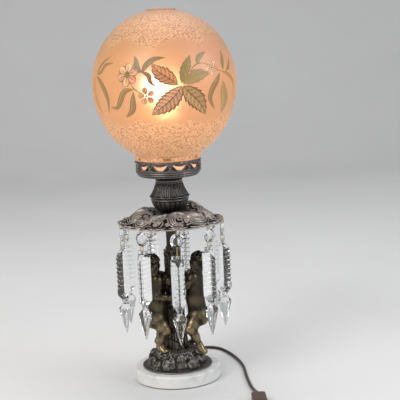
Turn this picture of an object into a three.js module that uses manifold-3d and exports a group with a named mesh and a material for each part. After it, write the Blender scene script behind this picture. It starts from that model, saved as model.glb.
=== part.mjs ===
// Parlor lamp: a marble foot, a cast rock mound with a tree trunk and two climbing children, a
// scrolled canopy hung with nine cut prisms, a small vase, and a lit ball globe on a pierced gallery.
// Millimetres, +Z up. The origin is the middle of the underside, on the table. -Y is the front.
import * as THREE from 'three';
import { mergeVertices } from 'three/addons/utils/BufferGeometryUtils.js';
import Module from 'manifold-3d';

const wasm = await Module();
wasm.setup();

// Clearances
const seatGap = 0.3; // between pieces that rest on each other
const castGap = 0.45; // between a figure and the rocks and bark that it leans on
const boreGap = 0.5; // round the pipe
const cutOverrun = 2; // how far a cutting body passes the face that it cuts

// Foot
const feltThickness = 1.5;
const feltInset = 3;
const marbleRadius = 79;
const marbleHeight = 21.2;
const marbleRound = 3.5;
const recessRadius = 21;
const recessMargin = 2; // from the pipe's end to the marble's underside

// Rock mound
const moundRadius = 63.6;
const moundEdge = 2.4;
const moundGround = 6.5; // the ground where the rocks start
const moundSeat = 26.4; // the flat under the trunk
const seatLedge = 2.2; // how far that flat passes the trunk's root
const moundCrest = 32.5; // top of the rocks round the trunk
const crestLedge = 7.4; // from the flat's edge to the top of the rocks
const rockBump = 1.5;
const boulderSink = 1.6; // how far a boulder's middle lies under the rocks' skin

// Tree trunk, column and pipe
const trunkHeight = 189;
const trunkRootRadius = 21.4;
const trunkTopRadius = 14.6;
const barkDepth = 1.2;
const columnHeight = 63.4;
const columnRadius = 10;
const pipeRadius = 5;
const pipeWall = 1.4;
const pipeEnd = 1.5; // pipe that shows below the nut
const pipeHead = 8; // pipe inside the socket's cap
const nutRadius = 10;
const nutHeight = 6;
const nutFlangeRadius = 14;
const nutFlangeHeight = 1.5;

// Canopy
const hubRadius = 19;
const hubThickness = 4;
const rimRadius = 94.8;
const rimScallop = 1.8;
const rimFlat = 10.8; // width of the flat rim that the prisms hang from
const rimThickness = 2.4;
const rimDrop = 16; // from the hub's top to the middle of the rim
const crestRadius = 48;
const crestLift = 9; // a scroll's top above the low crest between scrolls
const crestDip = 1.2; // how far the dome sinks between its hub and its crest
const scrollSpread = 60; // degrees from a scroll's top to where it dies out
const bandHalfWidth = 4;
const bandRise = 2.3; // height of a scroll band over the dome
const canopyWall = 3;

// Prisms
const prismCount = 9;
const prismPhase = 5; // degrees from the front to the first prism
const prismInset = 1.5; // from the rim's drawn-in edge to the axis that a hook swings about
const loopRadius = 3.2;
const wireRadius = 0.6;
const wireGap = 0.36; // between a loop's wire and the wall of a hole in the glass
const rimHoleRadius = 1.8;
const rimHoleShift = 0.3; // the hole's middle lies this much inside the loop's wire
const beadWidth = 22.6;
const beadHeight = 26.7;
const beadThickness = 8;
const beadEdge = 2;
const beadTable = 13.5;
const beadHoleInset = 2.45;
const hookSpan = 2.8; // between the middles of a hook's two bends
const linkSpan = 7.5;
const frontHookExtra = 3.2; // the front prism hangs lower, on longer wires
const frontLinkExtra = 6;
const barSide = 23.4;
const barLength = 88;
const barHoleInset = 3.4;
const tabThickness = 4.4;
const tabLength = 6;
const bevelRun = 8;
const neckRadius = 4.3;
const neckRun = 13; // from the bar's foot to the neck
const spearRadius = 12;
const shoulderRun = 13; // from the neck to the spear's widest place
const shoulderBand = 1.6;
const spearLength = 46; // from its widest place to its tip
const spearTip = 0.9;

// Vase
const bowlFootRadius = 17;
const bowlRadius = 33.6;
const bowlHeight = 25.5;
const vaseWall = 3;
const ridgeProud = 1.4; // the ridge between bowl and shoulder stands out by this
const ridgeHeight = 4.2;
const neckTopRadius = 23.6;
const shoulderHeight = 31;

// Gallery
const dishLedge = 1.5; // the dish's rim stands out past the crown by this
const dishHeight = 20.6;
const dishFloor = 4.5;
const dishWall = 2.6;
const dishMoulding = 1.8;
const crownWall = 4;
const crownHeight = 18.4;
const crescentCount = 10;
const crescentWidth = 27;
const crescentDepth = 10.5;
const crescentHorn = 5.5; // height of the crescent's hollow upper edge
const crescentRise = 4.2; // from the crown's foot to the lowest point of a crescent

// Globe
const globeRadius = 127.5;
const globeUpper = 129; // from the widest circle up to the pole of the curve
const globeLower = 140;
const globeWall = 3.5;
const lipRadius = 59;
const lipHeight = 7.5;
const fitterDepth = 15; // the glass neck that stands inside the crown, below the lip
const fitterPlay = 2; // between that neck and the crown
const lipRound = 1.5;
const lipNeck = 1.25; // from the lip's top to where the body starts
const lipOverhang = 1.5; // the lip stands out past the crown by this
const collarRadius = 25.8;
const collarHeight = 3;

// Socket and bulb
const socketRise = 12; // from the globe's lip to the socket's foot
const socketHeight = 62;
const socketRadius = 17;
const socketFootRadius = 8;
const socketCapHeight = 14;
const socketWall = 2.7;
const socketDepth = 31;
const bulbSeat = 0.6;
const bulbRadius = 30;
const bulbPlay = 1.3; // between the bulb's base and the socket's shell
const bulbBaseHeight = 27;
const bulbHeight = 108;

// Cord: total length from the foot to the plug
const cordLength = 1800;
const cordDiameter = 5.5;
const cordLie = 0.1; // from the table to the cord
const cordExitHeight = 9.5;
const bushingRadius = 5;
const bushingInside = 16;
const bushingFlangeRadius = 7.4;
const bushingFlange = 2.4;
const bushingTaper = 20;
const bushingTipRadius = 3.9;
const switchLength = 58;
const switchWidth = 25;
const switchHeight = 16.4;
const switchNose = 9; // width of the switch where the cord enters
const switchBevel = 2.5;
const wheelRadius = 9;
const wheelThickness = 4;
const wheelProud = 2.5; // how far the wheel stands out of the case's side
const wheelAxleRadius = 2;
const leadLength = 34; // from the switch to the coil
const coilTurns = 6.25;
const coilPitch = 6.1; // from turn to turn, and from layer to layer
const coilTail = 27; // straight cord from the last turn to the plug
const plugLength = 30;
const plugWidth = 24;
const plugHeight = 17;
const plugNose = 11;
const bladeLength = 17;
const bladeWidth = 6.3;
const bladeThickness = 1.5;
const bladeSpacing = 12.7;

// Sizes and heights that follow from these, from the table up
const pipeTail = nutHeight + nutFlangeHeight + pipeEnd;
const recessDepth = pipeTail + recessMargin;
const marbleBottom = feltThickness + seatGap;
const marbleTop = marbleBottom + marbleHeight;
const recessTop = marbleBottom + recessDepth;
const moundBottom = marbleTop + seatGap;
const trunkBottom = moundBottom + moundSeat + seatGap;
const trunkTop = trunkBottom + trunkHeight;
const columnBottom = trunkTop + seatGap;
const hubBottom = columnBottom + columnHeight + seatGap;
const hubTop = hubBottom + hubThickness;
const rimMiddle = hubTop - rimDrop;
const bowlBottom = hubTop + seatGap;
const shoulderBottom = bowlBottom + bowlHeight + seatGap;
const dishBottom = shoulderBottom + shoulderHeight + seatGap;
const crownBottom = dishBottom + dishHeight + seatGap;
const globeBottom = crownBottom + crownHeight + seatGap;
const socketBottom = globeBottom + socketRise;
const boreRadius = pipeRadius + boreGap;
const moundSeatRadius = trunkRootRadius + seatLedge;
const moundCrestRadius = moundSeatRadius + crestLedge;
const shoulderRadius = bowlRadius + ridgeProud;
const crownRadius = lipRadius - lipOverhang;
const dishRadius = crownRadius + dishLedge;
const crownInner = crownRadius - crownWall;
const fitterRadius = crownInner - fitterPlay;
const cordRadius = cordDiameter / 2;
const cordHeight = cordRadius + cordLie;

// Facets
const wideFacets = 36;
const globeFacets = 28;
const canopyFacets = 36;
const castFacets = 22;
const trunkFacets = 18;
const socketFacets = 14;
const turnedFacets = 22;
const smallFacets = 12;

const lamp = new THREE.Group();

function add(name, geometry, color, roughness, metalness) {
  const mesh = new THREE.Mesh(geometry, new THREE.MeshStandardMaterial({ color, roughness, metalness }));
  mesh.name = name;
  lamp.add(mesh);
}

// Positions only, shared vertices merged, no empty triangles, faces outward.
function clean(geometry) {
  const bare = geometry.clone();
  bare.deleteAttribute('normal');
  bare.deleteAttribute('uv');
  const merged = mergeVertices(bare, 1e-4);
  const p = merged.attributes.position;
  const kept = [];
  let volume = 0;
  const a = new THREE.Vector3();
  const b = new THREE.Vector3();
  const c = new THREE.Vector3();
  for (let i = 0; i < merged.index.count; i += 3) {
    const tri = [0, 1, 2].map((j) => merged.index.getX(i + j));
    if (new Set(tri).size < 3) continue;
    kept.push(tri);
    a.fromBufferAttribute(p, tri[0]);
    b.fromBufferAttribute(p, tri[1]);
    c.fromBufferAttribute(p, tri[2]);
    volume += a.dot(b.cross(c));
  }
  merged.setIndex(kept.flatMap((tri) => (volume < 0 ? [tri[0], tri[2], tri[1]] : tri)));
  return merged;
}

function toSolid(geometry) {
  const g = clean(geometry);
  return new wasm.Manifold(new wasm.Mesh({
    numProp: 3,
    vertProperties: new Float32Array(g.attributes.position.array),
    triVerts: new Uint32Array(g.index.array),
  }));
}

function toGeometry(solid) {
  const mesh = solid.getMesh();
  const geometry = new THREE.BufferGeometry();
  const positions = new Float32Array(mesh.numVert * 3);
  for (let i = 0; i < mesh.numVert; i += 1) {
    for (let j = 0; j < 3; j += 1) positions[i * 3 + j] = mesh.vertProperties[i * mesh.numProp + j];
  }
  geometry.setAttribute('position', new THREE.BufferAttribute(positions, 3));
  geometry.setIndex(Array.from(mesh.triVerts));
  return geometry;
}

function joined(geometries) {
  return geometries.map(toSolid).reduce((sum, solid) => sum.add(solid));
}

// The largest of the bodies that a cut leaves.
function mainBody(solid) {
  return solid.decompose().reduce((best, piece) => (piece.volume() > best.volume() ? piece : best));
}

// A turned piece round Z. The profile [radius, height] ends on the axis or closes on itself.
function turned(profile, facets, start = 0) {
  const points = profile.map(([r, z]) => new THREE.Vector2(r, z));
  const onAxis = profile[0][0] === 0 && profile[profile.length - 1][0] === 0;
  if (!onAxis) points.push(points[0].clone());
  return clean(new THREE.LatheGeometry(points, facets, start).rotateX(Math.PI / 2));
}

// Moves each vertex of a piece round Z to a radius and height given by its angle from +X.
function reshape(geometry, rule) {
  const p = geometry.attributes.position;
  for (let i = 0; i < p.count; i += 1) {
    const angle = Math.atan2(p.getY(i), p.getX(i));
    const [r, z] = rule(Math.hypot(p.getX(i), p.getY(i)), angle, p.getZ(i));
    p.setXYZ(i, r * Math.cos(angle), r * Math.sin(angle), z);
  }
  return geometry;
}

function rod(radius, low, high, facets) {
  const size = high - low;
  return new THREE.CylinderGeometry(radius, radius, size, facets).rotateX(Math.PI / 2)
    .translate(0, 0, low + size / 2);
}

function box(sizeX, sizeY, sizeZ, x, y, z) {
  return new THREE.BoxGeometry(sizeX, sizeY, sizeZ).translate(x, y, z);
}

const smooth = (t) => {
  const s = Math.min(1, Math.max(0, t));
  return s * s * (3 - 2 * s);
};

// Felt, marble, nut and bushing
add('felt_pad', turned([
  [0, 0], [marbleRadius - feltInset, 0], [marbleRadius - feltInset, feltThickness], [0, feltThickness],
], wideFacets), 0x3f4a38, 0.95, 0);

const marbleArc = [0, 0.5, 1].map((share) => [
  marbleRadius - marbleRound * (1 - Math.cos(share * Math.PI / 2)),
  marbleTop - marbleRound * (1 - Math.sin(share * Math.PI / 2)),
]);
const marbleBody = toSolid(turned([
  [boreRadius, recessTop], [recessRadius, recessTop], [recessRadius, marbleBottom],
  [marbleRadius, marbleBottom], ...marbleArc, [boreRadius, marbleTop],
], wideFacets));
const cordHoleStart = recessRadius - cutOverrun;
const cordHoleLength = marbleRadius + cutOverrun - cordHoleStart;
const cordHole = new THREE.CylinderGeometry(bushingRadius + seatGap, bushingRadius + seatGap,
  cordHoleLength, smallFacets).translate(0, cordHoleStart + cordHoleLength / 2, cordExitHeight);
add('marble_base', toGeometry(marbleBody.subtract(toSolid(cordHole))), 0xe4e3df, 0.35, 0);

const nutFlangeTop = recessTop - seatGap;
const nutTop = nutFlangeTop - nutFlangeHeight;
add('base_nut', toGeometry(joined([
  rod(nutRadius, nutTop - nutHeight, nutTop + nutFlangeHeight / 2, 6),
  rod(nutFlangeRadius, nutTop, nutFlangeTop, turnedFacets),
]).subtract(toSolid(rod(boreRadius, marbleBottom, recessTop + cutOverrun, smallFacets)))),
0x8c8578, 0.4, 0.9);

const bushingFace = marbleRadius + seatGap;
const bushingTip = bushingFace + bushingFlange + bushingTaper;
const bushingProfile = [
  [0, marbleRadius - bushingInside], [bushingRadius, marbleRadius - bushingInside],
  [bushingRadius, bushingFace], [bushingFlangeRadius, bushingFace],
  [bushingFlangeRadius, bushingFace + bushingFlange], [bushingRadius, bushingFace + bushingFlange],
  [bushingTipRadius, bushingTip], [0, bushingTip],
];
add('cord_bushing', turned(bushingProfile, smallFacets).rotateX(-Math.PI / 2)
  .translate(0, 0, cordExitHeight), 0x2a211b, 0.6, 0);

// Rock mound: ground that rises from a thin edge, and rocks heaped round the trunk. The height is
// ground plus a smooth step at the rocks' foot, with bumps in angle and radius, flat under the trunk.
const rockFootShares = [0.86, 0.07, 0.05]; // where the rocks start: the mean, and two swings round it
function moundHeight(r, angle) {
  const [mean, sideSwing, smallSwing] = rockFootShares;
  const foot = moundRadius * (mean - sideSwing * Math.cos(angle) + smallSwing * Math.cos(3 * angle + 1));
  const rise = smooth((moundRadius - r) / (moundRadius - foot * 0.8));
  const ground = moundEdge + (moundGround - moundEdge) * rise;
  const rocks = smooth((foot - r) / (foot - moundCrestRadius));
  const bumps = Math.cos(5 * angle + 1.3) + 0.8 * Math.cos(8 * angle - 7 * r / moundRadius);
  const heaped = ground + (moundCrest - moundGround) * rocks ** 0.8
    + rockBump * bumps * rocks * (1.3 - rocks);
  const seat = smooth((moundSeatRadius + rockBump - r) / rockBump);
  return heaped * (1 - seat) + moundSeat * seat;
}

const moundShares = [1, 0.94, 0.86, 0.78, 0.7, 0.62, 0.54, 0.48, 0.42];
function moundShape(bore, lift) {
  const tops = moundShares.map((share) => moundRadius * share).concat(moundSeatRadius);
  const profile = [[bore, moundBottom], [moundRadius, moundBottom]]
    .concat(tops.map((r) => [r, moundBottom + moundEdge]), [[bore, moundBottom + moundEdge]]);
  return reshape(turned(profile, castFacets), (r, angle, z) => (
    [r, z > moundBottom ? moundBottom + lift + moundHeight(r, angle) : z]));
}

// A ball squashed to three half sizes.
function ball(at, sizes) {
  return new THREE.SphereGeometry(1, 8, 5).scale(...sizes).translate(...at);
}

// Boulders that stand out of the rocks, as [degrees, shares of the rocks' radius: middle, half width, half
// depth, half height].
const boulderShares = [
  [247, 0.72, 0.17, 0.12, 0.1], [279, 0.62, 0.15, 0.12, 0.11], [309, 0.7, 0.18, 0.13, 0.1],
  [340, 0.64, 0.15, 0.12, 0.11], [10, 0.72, 0.16, 0.12, 0.1], [43, 0.63, 0.16, 0.13, 0.1],
  [77, 0.7, 0.17, 0.12, 0.11], [110, 0.62, 0.15, 0.12, 0.1], [146, 0.7, 0.17, 0.13, 0.1],
  [180, 0.66, 0.15, 0.12, 0.11], [214, 0.62, 0.16, 0.12, 0.1],
];
function rocks(bore, lift) {
  const boulders = boulderShares.map(([degrees, out, ...sizes]) => {
    const angle = THREE.MathUtils.degToRad(degrees);
    const r = moundRadius * out;
    const [half, depth, height] = sizes.map((share) => moundRadius * share + lift);
    const middle = moundBottom + moundHeight(r, angle) - boulderSink;
    return ball([r, 0, middle], [depth, half, height]).rotateZ(angle);
  });
  return joined([moundShape(bore, lift), ...boulders]);
}
add('rock_mound', toGeometry(rocks(boreRadius, 0)), 0x37302a, 0.55, 0.7);

// Trunk: bark ridges that twist slowly upward round a body that widens to its root.
const trunkBody = (share) => (
  trunkTopRadius + (trunkRootRadius - trunkTopRadius) * Math.max(1 - share, 0) ** 2.4);
function trunkRadius(share, angle) {
  const bark = Math.cos(5 * angle + 4 * share) + 0.6 * Math.cos(8 * angle - 7 * share + 1);
  const knots = Math.cos(2 * angle + 9 * share) * Math.sin(11 * share);
  return trunkBody(share) + barkDepth * (0.55 * bark + 0.6 * knots);
}

const trunkShares = [0, 0.06, 0.16, 0.28, 0.4, 0.52, 0.64, 0.76, 0.88, 1];
const trunkProfile = trunkShares.map((share) => [trunkTopRadius, trunkBottom + trunkHeight * share])
  .concat([[boreRadius, trunkTop], [boreRadius, trunkBottom]]);
add('tree_trunk', reshape(turned(trunkProfile, trunkFacets), (r, angle, z) => (
  [r > (boreRadius + trunkTopRadius) / 2 ? trunkRadius((z - trunkBottom) / trunkHeight, angle) : r, z])),
0x3b332b, 0.6, 0.7);

// A limb: a tapered rod with round ends, from one joint of the body to the next.
function limb(from, to, radiusFrom, radiusTo) {
  const a = new THREE.Vector3(...from);
  const b = new THREE.Vector3(...to);
  const length = a.distanceTo(b);
  const cap = [0, 0.72];
  const profile = cap.map((share) => [
    radiusFrom * Math.sin(share * Math.PI / 2), -radiusFrom * Math.cos(share * Math.PI / 2),
  ]).concat(cap.toReversed().map((share) => [
    radiusTo * Math.sin(share * Math.PI / 2), length + radiusTo * Math.cos(share * Math.PI / 2),
  ]));
  const up = new THREE.Vector3(0, 0, 1);
  const turn = new THREE.Quaternion().setFromUnitVectors(up, b.clone().sub(a).normalize());
  return turned(profile, 6).applyQuaternion(turn).translate(...from);
}

// A figure: places are [towards the lamp's side, towards the back, height], all as shares of the
// figure's height above its foot. side is -1 for the left figure and 1 for the right one.
const figureHeight = 182;
const soleDepth = 2.8; // the soles' level below the top of the rocks
const figureFoot = moundBottom + moundCrest - soleDepth;
const figureShares = {
  left: {
    head: [0.22, -0.055, 0.89], headSize: [0.09, 0.088, 0.108], hair: [0.232, -0.03, 0.905],
    neck: [0.19, -0.04, 0.78], chest: [0.172, -0.035, 0.665], belly: [0.18, -0.05, 0.5],
    hips: [0.19, -0.035, 0.36], seat: [0.225, -0.02, 0.315],
    nearShoulder: [0.165, -0.115, 0.735], nearElbow: [0.165, -0.165, 0.585], nearHand: [0.03, -0.165, 0.56],
    farShoulder: [0.155, 0.04, 0.75], farElbow: [0.11, 0.0, 0.76], farHand: [0.075, -0.09, 0.735],
    nearHip: [0.18, -0.09, 0.32], nearKnee: [0.11, -0.12, 0.22], nearAnkle: [0.165, -0.1, 0.07],
    nearToe: [0.12, -0.14, 0.02],
    farHip: [0.18, 0.035, 0.32], farKnee: [0.13, 0.1, 0.22], farAnkle: [0.18, 0.09, 0.07],
    farToe: [0.13, 0.12, 0.02],
  },
  right: {
    head: [0.258, -0.03, 0.885], headSize: [0.088, 0.088, 0.108], hair: [0.265, -0.01, 0.905],
    neck: [0.228, -0.03, 0.78], chest: [0.205, -0.03, 0.675], belly: [0.2, -0.03, 0.52],
    hips: [0.225, -0.03, 0.375], seat: [0.25, -0.035, 0.325],
    nearShoulder: [0.185, -0.1, 0.745], nearElbow: [0.12, -0.16, 0.68], nearHand: [0.045, -0.135, 0.735],
    farShoulder: [0.18, 0.045, 0.75], farElbow: [0.12, 0.11, 0.72], farHand: [0.03, 0.12, 0.77],
    nearHip: [0.2, -0.08, 0.33], nearKnee: [0.145, -0.14, 0.23], nearAnkle: [0.23, -0.125, 0.06],
    nearToe: [0.27, -0.145, 0.0],
    farHip: [0.2, 0.03, 0.32], farKnee: [0.14, 0.1, 0.23], farAnkle: [0.19, 0.1, 0.07],
    farToe: [0.15, 0.14, 0.02],
  },
};
const limbShares = {
  neck: 0.05, chest: [0.09, 0.1, 0.11], belly: [0.098, 0.105, 0.12], hips: [0.1, 0.115, 0.095],
  seat: [0.088, 0.1, 0.085], shoulder: 0.052, elbow: 0.04, hand: 0.036, hip: 0.078, knee: 0.055,
  ankle: 0.038, toe: 0.03, hair: 0.1,
};

function figure(side, shares) {
  const h = figureHeight;
  const place = ([out, back, up]) => [side * out * h, back * h, figureFoot + up * h];
  const sizes = (list) => list.map((share) => share * h);
  const r = limbShares;
  const join = (from, to, a, b) => limb(place(shares[from]), place(shares[to]), a * h, b * h);
  const parts = [
    ball(place(shares.head), sizes(shares.headSize)),
    ball(place(shares.hair), sizes([r.hair, r.hair, r.hair])),
    join('neck', 'head', r.neck, r.neck),
    ball(place(shares.chest), sizes(r.chest)),
    ball(place(shares.belly), sizes(r.belly)),
    ball(place(shares.hips), sizes(r.hips)),
    ball(place(shares.seat), sizes(r.seat)),
  ];
  for (const which of ['near', 'far']) {
    parts.push(
      join(`${which}Shoulder`, `${which}Elbow`, r.shoulder, r.elbow),
      join(`${which}Elbow`, `${which}Hand`, r.elbow, r.hand),
      join(`${which}Hip`, `${which}Knee`, r.hip, r.knee),
      join(`${which}Knee`, `${which}Ankle`, r.knee, r.ankle),
      join(`${which}Ankle`, `${which}Toe`, r.ankle, r.toe),
    );
  }
  const trunk = toSolid(turned([
    [0, trunkBottom], ...[0, 0.25, 1].map((share) => [
      trunkBody(share) + 1.5 * barkDepth + castGap, trunkBottom + trunkHeight * share,
    ]), [0, trunkTop],
  ], castFacets));
  const ground = rocks(0, castGap);
  return toGeometry(mainBody(joined(parts).subtract(trunk).subtract(ground)));
}
add('left_putto', figure(-1, figureShares.left), 0x4a3d28, 0.45, 0.8);
add('right_putto', figure(1, figureShares.right), 0x4a3d28, 0.45, 0.8);

// Pipe from the nut in the foot to the socket, with the nut that clamps the gallery dish
const pipeTop = socketBottom + pipeHead;
const pipeBottom = recessTop - pipeTail;
const clampBottom = dishBottom + dishFloor + seatGap;
add('lamp_pipe', turned([
  [pipeRadius - pipeWall, pipeBottom], [pipeRadius, pipeBottom], [pipeRadius, clampBottom],
  [nutRadius, clampBottom], [nutRadius, clampBottom + nutHeight], [pipeRadius, clampBottom + nutHeight],
  [pipeRadius, pipeTop], [pipeRadius - pipeWall, pipeTop],
], smallFacets), 0x9a8350, 0.4, 0.9);
add('column_tube', turned([
  [boreRadius, columnBottom], [columnRadius, columnBottom],
  [columnRadius, columnBottom + columnHeight], [boreRadius, columnBottom + columnHeight],
], turnedFacets), 0x3a2c22, 0.45, 0.8);

// Oval rings round a path that lies nearly flat: each ring stands upright across the path, and shrinks to
// scale(i) of its size at point i.
function flatTube(points, halfWidth, halfHeight, sides, scale = () => 1) {
  const positions = [];
  const index = [];
  points.forEach((point, i) => {
    const ahead = points[Math.min(i + 1, points.length - 1)].clone().sub(points[Math.max(i - 1, 0)]);
    if (i === 1) ahead.copy(points[1]).sub(points[0]);
    if (i === points.length - 2) ahead.copy(points[i + 1]).sub(points[i]);
    const across = new THREE.Vector3(ahead.y, -ahead.x, 0).normalize();
    const up = across.clone().cross(ahead).normalize();
    for (let j = 0; j < sides; j += 1) {
      const a = 2 * Math.PI * (j + 0.5) / sides;
      const p = point.clone().addScaledVector(across, scale(i) * halfWidth * Math.cos(a));
      p.addScaledVector(up, scale(i) * halfHeight * Math.sin(a));
      positions.push(p.x, p.y, p.z);
    }
  });
  const ring = (i, j) => i * sides + (j % sides);
  for (let i = 0; i + 1 < points.length; i += 1) {
    for (let j = 0; j < sides; j += 1) {
      index.push(ring(i, j), ring(i + 1, j), ring(i + 1, j + 1));
      index.push(ring(i, j), ring(i + 1, j + 1), ring(i, j + 1));
    }
  }
  const last = points.length - 1;
  for (let j = 1; j + 1 < sides; j += 1) {
    index.push(ring(0, 0), ring(0, j), ring(0, j + 1), ring(last, 0), ring(last, j + 1), ring(last, j));
  }
  const geometry = new THREE.BufferGeometry();
  geometry.setAttribute('position', new THREE.Float32BufferAttribute(positions, 3));
  geometry.setIndex(index);
  return clean(geometry);
}

// Canopy: a scrolled dome with three high scrolls, low crests between them, and a flat rim whose
// edge is drawn in at each prism.
const scrollAngles = [45, 165, 285];
const scrollShares = [1.25, 0.75, 0.6];
const dipShare = 0.5; // where the dome dips, from its hub to its crest
const fallShares = [0.55, 0.36]; // a point between the crest and the rim: how far out, and how far down
function crest(angle) {
  return scrollAngles.reduce((sum, degrees, i) => {
    const away = Math.abs(THREE.MathUtils.euclideanModulo(
      THREE.MathUtils.radToDeg(angle) - degrees + 180, 360) - 180);
    return sum + scrollShares[i] * smooth(1 - away / scrollSpread);
  }, 0) * crestLift;
}

// The share of a crest that reaches the dome at a radius: all of it at crestRadius, none at the hub and rim.
function crestSpan(r) {
  return r < crestRadius ? smooth((r - hubRadius) / (crestRadius - hubRadius))
    : smooth((rimInner - r) / (rimInner - crestRadius));
}

function prismAngle(k) {
  return THREE.MathUtils.degToRad(prismPhase + k * 360 / prismCount - 90);
}

const prismRadius = rimRadius - rimScallop - prismInset;
const rimTop = rimMiddle + rimThickness / 2;
const rimBase = rimMiddle - rimThickness / 2;
const rimInner = rimRadius - rimFlat;
const canopyTop = [
  [hubRadius, hubTop], [hubRadius + (crestRadius - hubRadius) * dipShare, hubTop - crestDip],
  [crestRadius, hubTop],
  [crestRadius + (rimInner - crestRadius) * fallShares[0], hubTop - rimDrop * fallShares[1]],
  [rimInner, rimTop],
];
const canopyUnder = canopyTop.slice(0, 4).map(([r, z]) => [r, z - canopyWall]).toReversed();
canopyUnder[canopyUnder.length - 1][1] = hubBottom;
const canopyBody = toSolid(reshape(turned([
  [boreRadius, hubTop], ...canopyTop, [rimRadius, rimTop], [rimRadius, rimBase], [rimInner, rimBase],
  ...canopyUnder, [boreRadius, hubBottom],
], canopyFacets, THREE.MathUtils.degToRad(prismPhase)), (r, angle, z) => {
  const k = THREE.MathUtils.radToDeg(angle) + 90 - prismPhase;
  const edge = r > rimInner + seatGap ? -rimScallop * Math.cos(THREE.MathUtils.degToRad(k * prismCount)) : 0;
  return [r + edge, z + crest(angle) * crestSpan(r)];
}));
// Scrollwork: raised bands on the dome, three times round. Arcs are [degrees from the crest, share of the
// radius to the flat rim, size share, starting direction in degrees, turns]; lines are such places in a row.
const bandArcs = [[-41, 0.82, 0.105, 160, 0.72], [-3, 0.78, 0.16, 75, 0.86], [60, 0.82, 0.09, 200, -0.75]];
const bandLines = [
  [[14, 0.56], [12.5, 0.7], [17, 0.83], [27, 0.91], [38, 0.9], [45, 0.82]],
  [[-23, 0.58], [-31, 0.67], [-42, 0.68], [-54, 0.63]],
];
const bandSides = 6;
const bandSteps = 10;
const bandEndShare = 0.4;
const domeOver = canopyTop.slice(0, -1).concat([[rimInner, rimTop]]);
function onDome(degrees, share) {
  const r = rimInner * share;
  const angle = THREE.MathUtils.degToRad(degrees);
  const i = domeOver.findIndex(([reach]) => reach > r);
  const [[r0, z0], [r1, z1]] = [domeOver[i - 1], domeOver[i]];
  const lift = crest(angle) * crestSpan(r);
  const z = z0 + (z1 - z0) * (r - r0) / (r1 - r0) + lift;
  return new THREE.Vector3(r * Math.cos(angle), r * Math.sin(angle), z);
}
function band(places) {
  const curve = new THREE.CatmullRomCurve3(places.map(([degrees, share]) => (
    new THREE.Vector3(degrees, share, 0))));
  const points = curve.getPoints(bandSteps).map((p) => onDome(p.x, p.y));
  const taper = (i) => bandEndShare + (1 - bandEndShare) * Math.sin(Math.PI * i / bandSteps);
  return flatTube(points, bandHalfWidth, bandRise, bandSides, taper);
}
const bandPaths = bandLines.concat(bandArcs.map(([degrees, share, size, start, turns]) => (
  [0, 0.25, 0.5, 0.75, 1].map((t) => {
    const turn = THREE.MathUtils.degToRad(start + 360 * turns * t);
    return [degrees + THREE.MathUtils.radToDeg(size * Math.cos(turn) / share), share + size * Math.sin(turn)];
  }))));
const bands = scrollAngles.flatMap((middle) => bandPaths.map((path) => (
  band(path.map(([degrees, share]) => [middle + degrees, share])))));
const rimHoles = [];
for (let k = 0; k < prismCount; k += 1) {
  const r = prismRadius - loopRadius + rimHoleShift;
  rimHoles.push(rod(rimHoleRadius, rimBase - cutOverrun, rimTop + cutOverrun, 8)
    .translate(r * Math.cos(prismAngle(k)), r * Math.sin(prismAngle(k)), 0));
}
add('canopy', toGeometry(joined(bands).add(canopyBody).subtract(joined(rimHoles))), 0x7d6f66, 0.5, 0.75);

// Prisms. Each is built hanging under the rim at the origin, ridge towards +X, then turned into place.
// Inside a hole a loop's wire bows by bendDrop, so the hole is that much higher than the wire is thick.
const bendDrop = loopRadius - Math.sqrt(loopRadius ** 2 - (tabThickness / 2) ** 2);
const wirePlay = bendDrop / 2;
const glassHoleRadius = wireRadius + wirePlay + wireGap;

// A wire loop: a ring in the upright plane through X, whose lower half is drawn down by a span.
function wireLoop(top, span) {
  const ring = new THREE.TorusGeometry(loopRadius, wireRadius, 5, 10).rotateX(Math.PI / 2);
  const p = ring.attributes.position;
  for (let i = 0; i < p.count; i += 1) {
    if (p.getZ(i) < -loopRadius / 4) p.setZ(i, p.getZ(i) - span);
  }
  return clean(ring.translate(0, 0, top));
}

function glassHole(z) {
  return new THREE.CylinderGeometry(glassHoleRadius, glassHoleRadius, barSide, 6)
    .rotateZ(Math.PI / 2).translate(0, 0, z);
}

function bead(middle) {
  const half = beadWidth / 2 / Math.cos(Math.PI / 8);
  const table = beadTable / 2;
  const lens = turned([
    [0, -beadThickness / 2], [table, -beadThickness / 2], [half, -beadEdge / 2],
    [half, beadEdge / 2], [table, beadThickness / 2], [0, beadThickness / 2],
  ], 8, Math.PI / 8).rotateY(Math.PI / 2).scale(1, 1, beadHeight / beadWidth).translate(0, 0, middle);
  const reach = beadHeight / 2 - beadHoleInset;
  return toSolid(lens).subtract(toSolid(glassHole(middle + reach)))
    .subtract(toSolid(glassHole(middle - reach)));
}

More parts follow.
